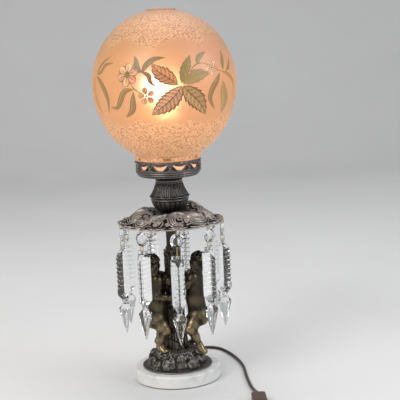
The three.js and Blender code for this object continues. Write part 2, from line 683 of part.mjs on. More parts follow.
// A bar: a three-sided prism whose upper end is bevelled to a thin tab on both faces, drawn in to a
// neck below, over an eight-sided spear.
function bar(top) {
  const corner = barSide / Math.sqrt(3);
  const neckDepth = barLength + neckRun;
  const shoulderDepth = neckDepth + shoulderRun;
  const dropLength = shoulderDepth + spearLength;
  const body = turned([
    [0, top], [corner, top], [corner, top - barLength], [neckRadius, top - neckDepth], [0, top - neckDepth],
  ], 3, Math.PI / 2);
  const spear = turned([
    [0, top - neckDepth + neckRadius], [neckRadius, top - neckDepth + neckRadius / 2],
    [spearRadius, top - shoulderDepth], [spearRadius, top - shoulderDepth - shoulderBand],
    [spearTip, top - dropLength], [0, top - dropLength],
  ], 8, Math.PI / 8);
  const bevel = (side) => {
    const outline = new THREE.Shape([
      [tabThickness / 2, -tabLength], [barSide, -tabLength - bevelRun * barSide / corner],
      [barSide, cutOverrun], [tabThickness / 2, cutOverrun],
    ].map(([x, z]) => new THREE.Vector2(side * x, z)));
    return new THREE.ExtrudeGeometry(outline, { depth: 2 * barSide, bevelEnabled: false })
      .rotateX(Math.PI / 2).translate(0, barSide, top);
  };
  return joined([body, spear]).subtract(toSolid(bevel(1))).subtract(toSolid(bevel(-1)))
    .subtract(toSolid(glassHole(top - barHoleInset)));
}

for (let k = 0; k < prismCount; k += 1) {
  const hook = hookSpan + (k === 0 ? frontHookExtra : 0);
  const link = linkSpan + (k === 0 ? frontLinkExtra : 0);
  const beadHole = rimMiddle - hook - loopRadius + wirePlay;
  const beadMiddle = beadHole - beadHeight / 2 + beadHoleInset;
  const linkTop = beadMiddle - beadHeight / 2 + beadHoleInset - loopRadius + wirePlay;
  const barHole = linkTop - link - loopRadius + wirePlay;
  const pieces = {
    prism_hook: [wireLoop(rimMiddle, hook), 0xb08d4f, 0.35, 1],
    prism_bead: [toGeometry(bead(beadMiddle)), 0xdfe6ea, 0.05, 0],
    prism_link: [wireLoop(linkTop, link), 0xb08d4f, 0.35, 1],
    prism_bar: [toGeometry(bar(barHole + barHoleInset)), 0xdfe6ea, 0.05, 0],
  };
  for (const [name, [geometry, color, roughness, metalness]] of Object.entries(pieces)) {
    const hung = geometry.translate(prismRadius, 0, 0).rotateZ(prismAngle(k));
    add(`${name}_${k + 1}`, hung, color, roughness, metalness);
  }
}

// Vase: a bowl and a shoulder, two thin castings over the pipe
const bowlShares = [[0, 0], [0.3, 0.16], [0.7, 0.45], [0.93, 0.75], [1, 1]];
const bowlPoint = ([out, up]) => [
  bowlFootRadius + (bowlRadius - bowlFootRadius) * out, bowlBottom + bowlHeight * up,
];
const bowlInside = bowlShares.slice(1).toReversed().map(bowlPoint).map(([r, z]) => [r - vaseWall, z]);
add('vase_bowl', turned([
  [boreRadius, bowlBottom], ...bowlShares.map(bowlPoint), ...bowlInside,
  [bowlFootRadius, bowlBottom + vaseWall], [boreRadius, bowlBottom + vaseWall],
], turnedFacets), 0x3c3630, 0.5, 0.75);

const shoulderShares = [[1, 0], [0.7, 0.22], [0.36, 0.5], [0.12, 0.8], [0, 1]];
const shoulderPoint = ([out, up]) => [
  neckTopRadius + (shoulderRadius - neckTopRadius) * out,
  shoulderBottom + ridgeHeight + (shoulderHeight - ridgeHeight) * up,
];
const shoulderOutside = shoulderShares.map(shoulderPoint);
const shoulderTop = shoulderBottom + shoulderHeight;
add('vase_shoulder', turned([
  [bowlRadius - vaseWall, shoulderBottom], [bowlRadius, shoulderBottom], ...shoulderOutside,
  [boreRadius, shoulderTop], [boreRadius, shoulderTop - vaseWall],
  ...shoulderOutside.toReversed().slice(1).map(([r, z]) => [r - vaseWall, z - vaseWall]),
], turnedFacets), 0x4d4943, 0.5, 0.75);

// Gallery dish: a flared bowl with stepped mouldings under its rim
const dishShares = [[0, 0], [0.04, 0.2], [0.24, 0.4], [0.55, 0.56], [0.76, 0.66]];
const dishOutside = dishShares.map(([out, up]) => [
  neckTopRadius + (dishRadius - neckTopRadius) * out, dishBottom + dishHeight * up,
]);
const dishTop = dishBottom + dishHeight;
const dishSteps = [3, 2, 1].map((n) => [dishRadius - n * dishMoulding, dishTop - n * dishMoulding])
  .flatMap(([r, z]) => [[r, z - dishMoulding], [r + dishMoulding, z - dishMoulding]]);
add('gallery_dish', turned([
  [boreRadius, dishBottom], ...dishOutside, ...dishSteps, [dishRadius, dishTop],
  [crownInner - dishWall, dishTop],
  ...dishOutside.toReversed().slice(0, 3).map(([r, z]) => [r - dishWall, z + dishWall]),
  [neckTopRadius - dishWall, dishBottom + dishFloor], [boreRadius, dishBottom + dishFloor],
], turnedFacets), 0x46403b, 0.45, 0.8);

// Gallery crown: a ring with ten crescent windows
function crescent(angle) {
  const points = [];
  const steps = 4;
  for (let i = 0; i <= steps; i += 1) {
    const t = i / steps * 2 - 1;
    points.push([t * crescentWidth / 2, crescentDepth * t * t]);
  }
  for (let i = steps - 1; i > 0; i -= 1) {
    const t = i / steps * 2 - 1;
    points.push([t * crescentWidth / 2, crescentHorn + (crescentDepth - crescentHorn) * t * t]);
  }
  const outline = new THREE.Shape(points.map(([x, z]) => new THREE.Vector2(x, z)));
  return new THREE.ExtrudeGeometry(outline, { depth: crownRadius, bevelEnabled: false })
    .rotateX(Math.PI / 2).rotateZ(Math.PI).translate(0, crownRadius / 2, crownBottom + crescentRise)
    .rotateZ(angle);
}
const crownBody = toSolid(turned([
  [crownInner, crownBottom], [crownRadius, crownBottom],
  [crownRadius, crownBottom + crownHeight], [crownInner, crownBottom + crownHeight],
], crescentCount * 3));
const crescentStart = THREE.MathUtils.degToRad(-15);
let crownSolid = crownBody;
for (let k = 0; k < crescentCount; k += 1) {
  const angle = Math.PI + crescentStart + k * 2 * Math.PI / crescentCount;
  crownSolid = crownSolid.subtract(toSolid(crescent(angle)));
}
add('gallery_crown', toGeometry(crownSolid), 0x57504a, 0.45, 0.8);

// Socket and bulb
const socketTop = socketBottom + socketHeight;
const socketBore = socketRadius - socketWall;
const bulbNeckRadius = socketBore - bulbPlay;
const socketFloor = socketTop - socketDepth;
add('lamp_socket', turned([
  [boreRadius, socketBottom], [socketFootRadius, socketBottom],
  [socketRadius, socketBottom + socketCapHeight], [socketRadius, socketTop], [socketBore, socketTop],
  [socketBore, socketFloor], [0, socketFloor], [0, pipeTop + seatGap], [boreRadius, pipeTop + seatGap],
], socketFacets), 0xa88a4a, 0.35, 0.95);
const bulbBottom = socketFloor + bulbSeat;
const bulbMiddle = bulbBottom + bulbHeight - bulbRadius;
const bulbArcShares = [-0.62, -0.3, 0, 0.33, 0.66, 0.86];
add('bulb', turned([
  [0, bulbBottom], [bulbNeckRadius, bulbBottom + bulbSeat], [bulbNeckRadius, bulbBottom + bulbBaseHeight],
  ...bulbArcShares.map((share) => [
    bulbRadius * Math.cos(share * Math.PI / 2), bulbMiddle + bulbRadius * Math.sin(share * Math.PI / 2),
  ]), [0, bulbMiddle + bulbRadius],
], socketFacets), 0xfff2dc, 0.3, 0);

// Globe: a blown shell, fuller below its widest circle, with an open collar, and below it a rolled lip
// that rests on the crown and a neck that stands inside it
const bodyFootAngle = Math.acos((lipRadius - 2 * lipRound) / globeRadius);
const globeCentre = lipHeight + lipNeck + globeLower * Math.sin(bodyFootAngle); // to the widest circle
function globePoint(share, inset) {
  const angle = share * Math.PI / 2;
  const rise = share < 0 ? globeLower : globeUpper;
  const up = (rise - inset) * Math.sin(angle);
  return [(globeRadius - inset) * Math.cos(angle), globeBottom + globeCentre + up];
}
const collarShare = Math.acos(collarRadius / globeRadius) / (Math.PI / 2);
const bodyShare = -bodyFootAngle / (Math.PI / 2);
const globeSteps = 9;
const globeOutside = [];
const globeInside = [];
for (let i = 0; i <= globeSteps; i += 1) {
  const share = bodyShare + (collarShare - bodyShare) * i / globeSteps;
  globeOutside.push(globePoint(share, 0));
  globeInside.unshift(globePoint(share, globeWall));
}
const collarBase = globePoint(collarShare, 0)[1];
const collarTop = collarBase + collarHeight;
const fitterFoot = globeBottom - fitterDepth;
add('globe', turned([
  [fitterRadius - globeWall, fitterFoot], [fitterRadius, fitterFoot], [fitterRadius, globeBottom],
  [lipRadius - lipRound, globeBottom], [lipRadius, globeBottom + lipRound],
  [lipRadius, globeBottom + lipHeight - lipRound], [lipRadius - lipRound, globeBottom + lipHeight],
  ...globeOutside, [collarRadius, collarTop], [collarRadius - globeWall, collarTop],
  ...globeInside, [fitterRadius - globeWall, globeBottom + lipHeight],
], globeFacets), 0xe9b183, 0.35, 0);

// Cord. Its free stretch lies on the table behind the foot and round its right side to the front.
const cordRoute = [
  [0, 102, 9.5], [0.5, 112, 9.2], [3.5, 124, 7.4], [9.5, 135, 5], [18.5, 144.5, 3.4], [29.5, 151.5, 2.9],
  [41.5, 155.8, 2.9], [54, 157.6, 2.9], [66.5, 156.4, 2.9], [77.5, 151.2, 2.9], [87, 142, 2.9],
  [96, 126, 2.9], [104, 107.5, 2.9], [110.6, 88, 2.9], [116, 67, 2.9], [120.4, 45, 2.9], [122.8, 22, 2.9],
  [123.6, -4, 2.9], [124, -32, 2.9], [125.6, -62, 2.9], [128.4, -92, 3], [131.4, -112, 3.9],
  [133.8, -128, 6.6], [134.8, -138, 8], [135, -146, 8.4],
];

function cordCurve(points) {
  return new THREE.CatmullRomCurve3(points.map((p) => new THREE.Vector3(...p)), false, 'centripetal');
}

function cordTube(curve, steps) {
  const section = new THREE.Shape();
  section.absarc(0, 0, cordRadius, 0, Math.PI * 2);
  const outline = new THREE.Shape(section.getSpacedPoints(8).slice(0, -1));
  return clean(new THREE.ExtrudeGeometry(outline, { steps, extrudePath: curve, bevelEnabled: false }));
}
const freeCurve = cordCurve(cordRoute);
add('cord', cordTube(freeCurve, 38), 0x2b1d18, 0.6, 0);

// In-line switch: a flat case that narrows to the cord at both ends, with a thumb wheel in a slot
const [cordEndX, cordEndY, cordEndZ] = cordRoute[cordRoute.length - 1];
const switchStart = cordEndY - seatGap;
const switchMiddle = switchStart - switchLength / 2;
const switchEnd = switchStart - switchLength;
const switchNoseRun = (switchWidth - switchNose) / 2;
const halfCase = [
  [switchNose / 2, switchLength / 2], [switchWidth / 2, switchLength / 2 - switchNoseRun],
  [switchWidth / 2, switchNoseRun - switchLength / 2], [switchNose / 2, -switchLength / 2],
];
function outlineOf(half) {
  return half.concat(half.toReversed().map(([x, y]) => [-x, y])).map(([x, y]) => new THREE.Vector2(x, y));
}
const caseBody = new THREE.ExtrudeGeometry(new THREE.Shape(outlineOf(halfCase.map(([x, y]) => [
  x - switchBevel, y - Math.sign(y) * switchBevel,
]))), {
  depth: switchHeight - 2 * switchBevel, bevelEnabled: true, bevelThickness: switchBevel,
  bevelSize: switchBevel, bevelSegments: 1,
}).translate(cordEndX, switchMiddle, cordEndZ - switchHeight / 2 + switchBevel);
const wheelX = cordEndX + switchWidth / 2 + wheelProud - wheelRadius;
const wheelAt = (radius, thickness, facets) => (
  rod(radius, cordEndZ - thickness / 2, cordEndZ + thickness / 2, facets).translate(wheelX, switchMiddle, 0)
);
const switchCase = toSolid(caseBody)
  .subtract(toSolid(wheelAt(wheelRadius + 2 * seatGap, wheelThickness + 2 * seatGap, turnedFacets)))
  .add(toSolid(wheelAt(wheelAxleRadius, wheelThickness + 2 * cutOverrun, smallFacets)));
add('line_switch', toGeometry(switchCase), 0x3a2318, 0.4, 0);
add('switch_wheel', toGeometry(toSolid(wheelAt(wheelRadius, wheelThickness, turnedFacets))
  .subtract(toSolid(wheelAt(wheelAxleRadius + seatGap, wheelThickness + cutOverrun, smallFacets)))),
0xd9cdb8, 0.4, 0);

// The lead from the switch drops to the table and runs straight into the coil's outer turn.
const leadStart = switchEnd - seatGap;
const leadEnd = leadStart - leadLength;
const leadShares = [0, 0.2, 0.42, 0.64, 0.84, 1];
const dropShares = [0.1, 0.75]; // where along the lead its drop starts, and how much of the lead it takes
const leadRoute = leadShares.map((share) => [
  cordEndX, leadStart - leadLength * share,
  cordEndZ + (cordHeight - cordEndZ) * smooth((share - dropShares[0]) / dropShares[1]),
]);
const leadCurve = cordCurve(leadRoute);
add('cord_to_coil', cordTube(leadCurve, 6), 0x2b1d18, 0.6, 0);

// Coil: one unbroken tube in two layers. It winds clockwise inward at a steady rate, climbs in the
// half turn round the middle, where the spiral turns back, and winds outward on top of itself.
const coilLength = cordLength - freeCurve.getLength() - switchLength - leadCurve.getLength() - bushingTaper;
const coilMean = (coilLength - cordDiameter - coilTail) / (2 * Math.PI * coilTurns);
const coilInner = coilMean - coilPitch * coilTurns / 4;
const coilOuter = coilInner + coilPitch * coilTurns / 2;
const coilStart = leadEnd - seatGap;
const coilX = cordEndX - coilOuter;
const coilY = coilStart - cordDiameter;
function coilPoint(turn) {
  const fromMiddle = turn - coilTurns / 2;
  const r = coilInner + coilPitch * Math.abs(fromMiddle);
  const angle = -2 * Math.PI * turn;
  const z = cordHeight + coilPitch * smooth(2 * fromMiddle + 0.5);
  return new THREE.Vector3(coilX + r * Math.cos(angle), coilY + r * Math.sin(angle), z);
}
const loopSteps = 24;
const loopSides = 6;
const coilPoints = [new THREE.Vector3(cordEndX, coilStart, cordHeight)];
const coilSteps = loopSteps * coilTurns;
for (let i = 0; i <= coilSteps; i += 1) coilPoints.push(coilPoint(i / loopSteps));
const coilLast = coilPoint(coilTurns);
coilPoints.push(coilLast.clone().add(new THREE.Vector3(-coilTail, 0, 0)));

add('cord_coil', flatTube(coilPoints, cordRadius, cordRadius, loopSides), 0x2b1d18, 0.6, 0);

let leastGap = Infinity;
for (let i = 0; i < coilPoints.length; i += 1) {
  for (let j = i + loopSteps / 2; j < coilPoints.length; j += 1) {
    leastGap = Math.min(leastGap, coilPoints[i].distanceTo(coilPoints[j]) - cordDiameter);
  }
}
console.log(`coil: ${coilTurns} turns, inner radius ${coilInner.toFixed(1)}, least gap ${leastGap.toFixed(2)}`);
console.log(`cord: ${freeCurve.getLength().toFixed(0)} free, ${coilLength.toFixed(0)} coiled`);

// Plug: a tapered body and two flat blades, lying beside the coil in line with its last turn
const plugStart = coilLast.x - coilTail - seatGap;
const plugZ = Math.max(coilLast.z, plugHeight / 2 + cordLie);
const plugTaperShare = 0.35;
const plugOutline = [[0, plugNose / 2], [plugTaperShare, plugWidth / 2], [1, plugWidth / 2]]
  .map(([share, y]) => [-share * plugLength, y]);
const plugBody = new THREE.ExtrudeGeometry(new THREE.Shape(
  plugOutline.concat(plugOutline.toReversed().map(([x, y]) => [x, -y]))
    .map(([x, y]) => new THREE.Vector2(x, y)),
), { depth: plugHeight, bevelEnabled: false }).translate(plugStart, coilLast.y, plugZ - plugHeight / 2);
const bladeX = plugStart - plugLength - bladeLength / 2;
add('plug', toGeometry(joined([
  plugBody,
  ...[-1, 1].map((side) => box(bladeLength + 2 * cutOverrun, bladeThickness, bladeWidth,
    bladeX + cutOverrun, coilLast.y + side * bladeSpacing / 2, plugZ)),
])), 0x2b1d18, 0.5, 0);

export default lamp;
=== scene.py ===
import itertools

import bmesh
import bpy
import numpy as np
from mathutils import Matrix


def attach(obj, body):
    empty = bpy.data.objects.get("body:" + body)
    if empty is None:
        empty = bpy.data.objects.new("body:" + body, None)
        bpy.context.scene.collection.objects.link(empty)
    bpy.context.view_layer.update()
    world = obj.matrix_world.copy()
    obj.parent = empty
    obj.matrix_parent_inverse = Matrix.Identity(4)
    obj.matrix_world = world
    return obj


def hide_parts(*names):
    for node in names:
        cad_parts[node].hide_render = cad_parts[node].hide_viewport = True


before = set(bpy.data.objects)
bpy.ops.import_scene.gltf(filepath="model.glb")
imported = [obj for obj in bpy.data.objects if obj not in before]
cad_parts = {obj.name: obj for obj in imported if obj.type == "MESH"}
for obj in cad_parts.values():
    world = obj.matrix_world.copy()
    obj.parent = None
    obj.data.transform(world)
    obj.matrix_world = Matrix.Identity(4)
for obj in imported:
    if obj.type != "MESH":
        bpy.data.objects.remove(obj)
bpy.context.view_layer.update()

mm = 0.001
pi = np.pi
upright = np.array([0, 0, 1.0])


# Meshes from arrays

# Steps from 0 to 1 with a soft start and end.
def softStep(t):
    s = np.clip(t, 0, 1)
    return s * s * (3 - 2 * s)


# A bump of height 1 at 0 that has died out to about a tenth at 1.5 spreads.
def bell(t, spread):
    return np.exp(-(t / spread) ** 2)


# A half circle of height 1 over the places from -1 to 1.
def arch(t):
    return np.sqrt(np.maximum(1 - t ** 2, 0))


# Quads between neighbouring points of a grid of rows and columns, each way joined round on itself or not.
def gridFaces(rows, columns, wrapRows=False, wrapColumns=True, start=0):
    i = np.arange(rows if wrapRows else rows - 1)[:, None]
    j = np.arange(columns if wrapColumns else columns - 1)[None, :]
    i2 = (i + 1) % rows
    j2 = (j + 1) % columns
    quads = np.stack([i * columns + j, i * columns + j2, i2 * columns + j2, i2 * columns + j], -1)
    return quads.reshape(-1, 4) + start


# Six times the signed volume inside the faces, fan by fan; below 0 the faces point inward.
def signedVolume(points, faceSets):
    total = 0.0
    for faces in faceSets:
        for k in range(1, faces.shape[1] - 1):
            a, b, c = points[faces[:, 0]], points[faces[:, k]], points[faces[:, k + 1]]
            total += np.einsum("ij,ij->i", a, np.cross(b, c)).sum()
    return total


def addObject(name, data):
    obj = bpy.data.objects.new(name, data)
    bpy.context.scene.collection.objects.link(obj)
    return obj


# A mesh object at the origin from an n x 3 array in metres and a list of index arrays, one row for each face.
def makePiece(name, points, faceSets, smooth=True, closed=True):
    points = np.asarray(points, float).reshape(-1, 3)
    if closed and signedVolume(points, faceSets) < 0:
        faceSets = [faces[:, ::-1] for faces in faceSets]
    mesh = bpy.data.meshes.new(name)
    mesh.vertices.add(len(points))
    mesh.vertices.foreach_set("co", points.astype(np.float32).ravel())
    corners = np.concatenate([faces.ravel() for faces in faceSets]).astype(np.int32)
    sizes = np.concatenate([np.full(len(faces), faces.shape[1]) for faces in faceSets])
    mesh.loops.add(len(corners))
    mesh.loops.foreach_set("vertex_index", corners)
    mesh.polygons.add(len(sizes))
    mesh.polygons.foreach_set("loop_start", (np.cumsum(sizes) - sizes).astype(np.int32))
    mesh.update(calc_edges=True)
    mesh.validate()
    obj = addObject(name, mesh)
    shadeSmooth(obj, smooth)
    return obj


def shadeSmooth(obj, smooth=True):
    obj.data.polygons.foreach_set("use_smooth", np.full(len(obj.data.polygons), smooth))
    obj.data.update()


# Points that lie together become one, and empty faces go.
def weld(obj, distance=1e-6):
    work = bmesh.new()
    work.from_mesh(obj.data)
    bmesh.ops.remove_doubles(work, verts=work.verts, dist=distance)
    bmesh.ops.dissolve_degenerate(work, edges=work.edges, dist=distance / 4)
    work.to_mesh(obj.data)
    work.free()
    obj.data.update()
    return obj


# Faces that close a tube's two ends, each one face with a corner for every side.
def endCaps(rows, columns):
    first = np.arange(columns)[None, :]
    return [first[:, ::-1], first + (rows - 1) * columns]


# Several grids of points as one list of points and faces. Each item is (grid, wrapRows, wrapColumns); a grid
# that wraps is closed at its open ends and turned so that it faces outward by itself.
def joinGrids(items):
    points, faceSets, start = [], [], 0
    for grid, wrapRows, wrapColumns in items:
        rows, columns = grid.shape[:2]
        flat = grid.reshape(-1, 3)
        faces = [gridFaces(rows, columns, wrapRows, wrapColumns)]
        if wrapColumns and not wrapRows:
            faces += endCaps(rows, columns)
        if wrapColumns and signedVolume(flat - flat.mean(0), faces) < 0:
            faces = [each[:, ::-1] for each in faces]
        faceSets += [each + start for each in faces]
        points.append(flat)
        start += rows * columns
    return np.concatenate(points), faceSets


# The lengths along a path's chords up to each of its points.
def runAlong(path):
    return np.concatenate([[0], np.cumsum(np.linalg.norm(np.diff(path, axis=0), axis=1))])


# Points at an even spacing along a path.
def evenly(path, spacing, closed=False):
    path = np.concatenate([path, path[:1]]) if closed else path
    run = runAlong(path)
    count = max(3, int(round(run[-1] / spacing)))
    at = np.linspace(0, run[-1], count, endpoint=False) if closed else np.linspace(0, run[-1], count + 1)
    return np.stack([np.interp(at, run, path[:, k]) for k in range(path.shape[1])], 1)


# An outline whose corners are cut back by a radius and replaced by a curve, as points at an even spacing.
# Open outlines keep their two ends.
def rounded(corners, radius, spacing, closed=True):
    corners = np.array(corners, float)
    count = len(corners)
    radii = np.broadcast_to(np.asarray(radius, float), (count,))
    t = np.linspace(0, 1, 6)[:, None]
    parts = []
    for i, corner in enumerate(corners):
        if not closed and i in (0, count - 1):
            parts.append(corner[None])
            continue
        before, after = corners[i - 1] - corner, corners[(i + 1) % count] - corner
        a = corner + before * min(radii[i] / np.linalg.norm(before), 0.48)
        b = corner + after * min(radii[i] / np.linalg.norm(after), 0.48)
        parts.append((1 - t) ** 2 * a + 2 * t * (1 - t) * corner + t ** 2 * b)
    return evenly(np.concatenate(parts), spacing, closed)


# A smooth curve through points: a cubic between each two, with tangents from centripetal spacing.
def throughPoints(points, samples):
    points = np.asarray(points, float)
    ends = np.concatenate([[2 * points[0] - points[1]], points, [2 * points[-1] - points[-2]]])
    p0, p1, p2, p3 = ends[:-3], ends[1:-2], ends[2:-1], ends[3:]
    gap = lambda a, b: np.maximum(np.linalg.norm(b - a, axis=1), 1e-9)[:, None] ** 0.5
    d0, d1, d2 = gap(p0, p1), gap(p1, p2), gap(p2, p3)
    m1 = ((p1 - p0) / d0 - (p2 - p0) / (d0 + d1) + (p2 - p1) / d1) * d1
    m2 = ((p2 - p1) / d1 - (p3 - p1) / (d1 + d2) + (p3 - p2) / d2) * d1
    t = np.linspace(0, 1, samples, endpoint=False)[None, :, None]
    a, b = p1[:, None], p2[:, None]
    m1, m2 = m1[:, None], m2[:, None]
    curve = (2 * t ** 3 - 3 * t ** 2 + 1) * a + (t ** 3 - 2 * t ** 2 + t) * m1
    curve = curve + (3 * t ** 2 - 2 * t ** 3) * b + (t ** 3 - t ** 2) * m2
    return np.concatenate([curve.reshape(-1, points.shape[1]), points[-1:]])


def pathLength(path):
    return np.linalg.norm(np.diff(path, axis=0), axis=1).sum()


def unit(v):
    return v / np.maximum(np.linalg.norm(v, axis=-1, keepdims=True), 1e-12)


# Angles round the lamp for turned work, counted from +X.
def turnAngles(steps):
    return np.linspace(0, 2 * pi, steps, endpoint=False)[None, :]


# Rings round the lamp's axis: each row of r and z holds one ring's radii and heights at the angles.
def rings(r, z, angles):
    r, z, angles = np.broadcast_arrays(r, z, angles)
    return np.stack([r * np.cos(angles), r * np.sin(angles), z], -1)


# The outward direction at an angle round the lamp, and the one that goes round.
def directions(angle):
    return np.array([np.cos(angle), np.sin(angle), 0]), np.array([-np.sin(angle), np.cos(angle), 0])


# Unit normals of a surface that goes round the lamp, from its central differences, facing up on the whole.
def upwardNormals(grid):
    round_ = (np.roll(grid, -1, 1) - np.roll(grid, 1, 1)) / 2
    normals = unit(np.cross(round_, np.gradient(grid, axis=0)))
    return normals * np.sign(normals[..., 2:].mean())


# A unit circle as pairs, and the same drawn out towards the corners of a box by a power below 1.
def circle(sides, power=1):
    a = turnAngles(sides)[0]
    pairs = np.stack([np.cos(a), np.sin(a)], 1)
    return np.sign(pairs) * np.abs(pairs) ** power


# A tube along a path that lies nearly flat: each ring of (across, up) pairs stands upright across the path.
def flatTube(path, ring):
    ahead = unit(np.gradient(path, axis=0))
    across = unit(np.stack([ahead[:, 1], -ahead[:, 0], 0 * ahead[:, 0]], 1))
    up = np.cross(across, ahead)
    return path[:, None] + across[:, None] * ring[:, :1] + up[:, None] * ring[:, 1:]


# Round rings square to a path, one for each point, from its two cross directions there.
def tubeRings(path, across, up, radii, sides):
    turn = circle(sides)[:, :, None]
    ring = across[:, None] * turn[:, 0] + up[:, None] * turn[:, 1]
    return path[:, None] + ring * np.broadcast_to(radii, (len(path),))[:, None, None]


# A round tube of changing radius along a path in space. Its cross direction is carried along with no twist:
# at each point it is the last one laid square to the next tangent.
def spaceTube(path, radii, sides, first):
    ahead = unit(np.gradient(path, axis=0))
    across = np.empty_like(path)
    last = np.asarray(first, float)
    for i, tangent in enumerate(ahead):
        last = unit(last - tangent * (last @ tangent))
        across[i] = last
    return tubeRings(path, across, np.cross(ahead, across), radii, sides)


# A round tube along a closed path, each ring square to the path with its first spoke along the normals.
def closedTube(path, normals, radius, sides=8):
    ahead = unit(np.roll(path, -1, 0) - np.roll(path, 1, 0))
    across = unit(normals - ahead * (normals * ahead).sum(1, keepdims=True))
    return tubeRings(path, across, np.cross(ahead, across), radius, sides)


def tubePiece(name, grid, smooth=True):
    rows, columns = grid.shape[:2]
    return makePiece(name, grid, [gridFaces(rows, columns)] + endCaps(rows, columns), smooth)


# Even pseudo-random numbers from 0 to 1 for whole-number cells: products of the cell's places with large odd
# numbers, folded together.
def cellNumbers(cell, seed, channel):
    x, y, z = np.moveaxis(cell, -1, 0)
    h = x * 73856093 ^ y * 19349663 ^ z * 83492791 ^ (seed * 2654435 + channel * 97531)
    h = (h ^ (h >> 13)) * 1274126177 & 0x7FFFFFFF
    h = (h ^ (h >> 16)) * 668265263 & 0x7FFFFFFF
    return (h >> 7 & 0xFFFF) / 65535.0


# A place made of three such numbers in each cell.
def cellPlace(cell, seed, channel=0):
    return np.stack([cellNumbers(cell, seed, channel + k) for k in range(3)], -1)


# Distances from each point to the nearest and the second nearest of points strewn one to a cell, and the
# nearest one's cell.
def strewn(points, size, seed):
    q = points / size
    base = np.floor(q).astype(np.int64)
    near = np.full(q.shape[:-1], 9.0)
    second, nearest = near, base
    for shift in itertools.product((-1, 0, 1), repeat=3):
        cell = base + np.array(shift)
        d = np.linalg.norm(cell + cellPlace(cell, seed) - q, axis=-1)
        second = np.minimum(second, np.maximum(near, d))
        nearest = np.where((d < near)[..., None], cell, nearest)
        near = np.minimum(near, d)
    return near, second, nearest


# Smooth noise from -1 to 1: numbers at the corners of cells, blended with soft steps, in ever finer layers.
def softNoise(points, size, seed, layers=3):
    total, weight = 0.0, 0.0
    for layer in range(layers):
        q = points / size * 2 ** layer
        base = np.floor(q).astype(np.int64)
        t = softStep(q - base)
        value = 0.0
        for corner in itertools.product((0, 1), repeat=3):
            share = np.prod([t[..., k] if corner[k] else 1 - t[..., k] for k in range(3)], axis=0)
            value = value + share * cellNumbers(base + np.array(corner), seed + layer, 5)
        total = total + (2 * value - 1) * 0.5 ** layer
        weight += 0.5 ** layer
    return total / weight


def readPoints(mesh, what="co"):
    values = np.empty(len(mesh.vertices) * 3, np.float32)
    mesh.vertices.foreach_get(what, values)
    return values.reshape(-1, 3).astype(float)


def writePoints(mesh, points):
    mesh.vertices.foreach_set("co", points.astype(np.float32).ravel())
    mesh.update()


# The mean of each point's neighbours along its edges.
def neighbourMean(mesh):
    count = len(mesh.vertices)
    ends = np.empty(len(mesh.edges) * 2, np.int32)
    mesh.edges.foreach_get("vertices", ends)
    a, b = ends.reshape(-1, 2).T
    shares = np.maximum(np.bincount(a, minlength=count) + np.bincount(b, minlength=count), 1)

    def spread(values):
        columns = [np.bincount(a, v[b], count) + np.bincount(b, v[a], count) for v in values.T]
        return np.stack(columns, 1) / shares[:, None]
    return spread


def storeValue(obj, name, values):
    attribute = obj.data.attributes.new(name, "FLOAT", "POINT")
    attribute.data.foreach_set("value", np.asarray(values, np.float32).ravel())


# How proud each point stands, from 0 deep in a groove to 1 on an edge: its height over the same surface after
# rounds of evening out, in shares of depth, with level for a plain place.
def markRelief(obj, depth, rounds, level):
    mesh = obj.data
    spread = neighbourMean(mesh)
    points = readPoints(mesh)
    normals = readPoints(mesh, "normal")
    even = points
    for _ in range(rounds):
        even = spread(even)
    proud = spread(((points - even) * normals).sum(1, keepdims=True))
    storeValue(obj, "relief", np.clip(level + proud / (2 * depth), 0, 1))


# Applies a modifier to a piece and keeps what it made.
def applied(obj, kind, **settings):
    modifier = obj.modifiers.new(kind.title(), kind)
    for key, value in settings.items():
        setattr(modifier, key, value)
    graph = bpy.context.evaluated_depsgraph_get()
    made = bpy.data.meshes.new_from_object(obj.evaluated_get(graph), depsgraph=graph)
    obj.modifiers.clear()
    obj.data = made


# Cuts a tool out of a piece, or joins it on, and throws the tool away.
def carve(obj, tool, operation="DIFFERENCE"):
    applied(obj, "BOOLEAN", object=tool, operation=operation, solver="EXACT")
    bpy.data.objects.remove(tool)


def dress(obj, material):
    obj.data.materials.clear()
    obj.data.materials.append(material)


# Gives a piece its finish and its body, and hides the CAD nodes that it stands for. The slot is not used.
def fit(obj, finish, slot, *nodes, body="lamp"):
    dress(obj, finishes[finish])
    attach(obj, body)
    if nodes:
        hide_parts(*nodes)
    return obj


# The same for a piece of cast metal, whose finish needs its relief, with depth in mm.
def fitCast(obj, finish, slot, node, depth, rounds, level=0.5):
    markRelief(obj, depth * mm, rounds, level)
    fit(obj, finish, slot, node)


# Adds an object at a place, with its own X, Y and Z along three directions.
def putAt(name, data, place, axes):
    obj = addObject(name, data)
    turn = Matrix([list(row) for row in np.stack(axes, 1)]).to_4x4()
    obj.matrix_world = Matrix.Translation(place) @ turn
    return obj


# Camera

cameraFit = {
    "place": (0, -1.9, 0.639),
    "yaw": 1.63,  # degrees to the right
    "down": 9.34,
    "roll": -2.47,  # the lamp's top leans left in the picture
    "focal": 1071,  # in pixels of a picture 400 wide
    "pictureWidth": 400,
    "sensor": 36,
}


# The camera looks ahead by its yaw and downward tilt, with its own right and up turned by its roll.
def makeCamera(settings):
    yaw, down, roll = np.radians([settings["yaw"], settings["down"], settings["roll"]])
    ahead = np.array([np.sin(yaw) * np.cos(down), np.cos(yaw) * np.cos(down), -np.sin(down)])
    right = unit(np.cross(ahead, upright))
    up = np.cross(right, ahead)
    across = right * np.cos(roll) + up * np.sin(roll)
    upward = -right * np.sin(roll) + up * np.cos(roll)
    data = bpy.data.cameras.new("camera")
    data.sensor_width = settings["sensor"]
    data.lens = settings["focal"] / settings["pictureWidth"] * settings["sensor"]
    bpy.context.scene.camera = putAt("camera", data, settings["place"], (across, upward, -ahead))


makeCamera(cameraFit)
print("camera placed")


# Materials. Each is built from nodes on Object coordinates or on a piece's own attributes.

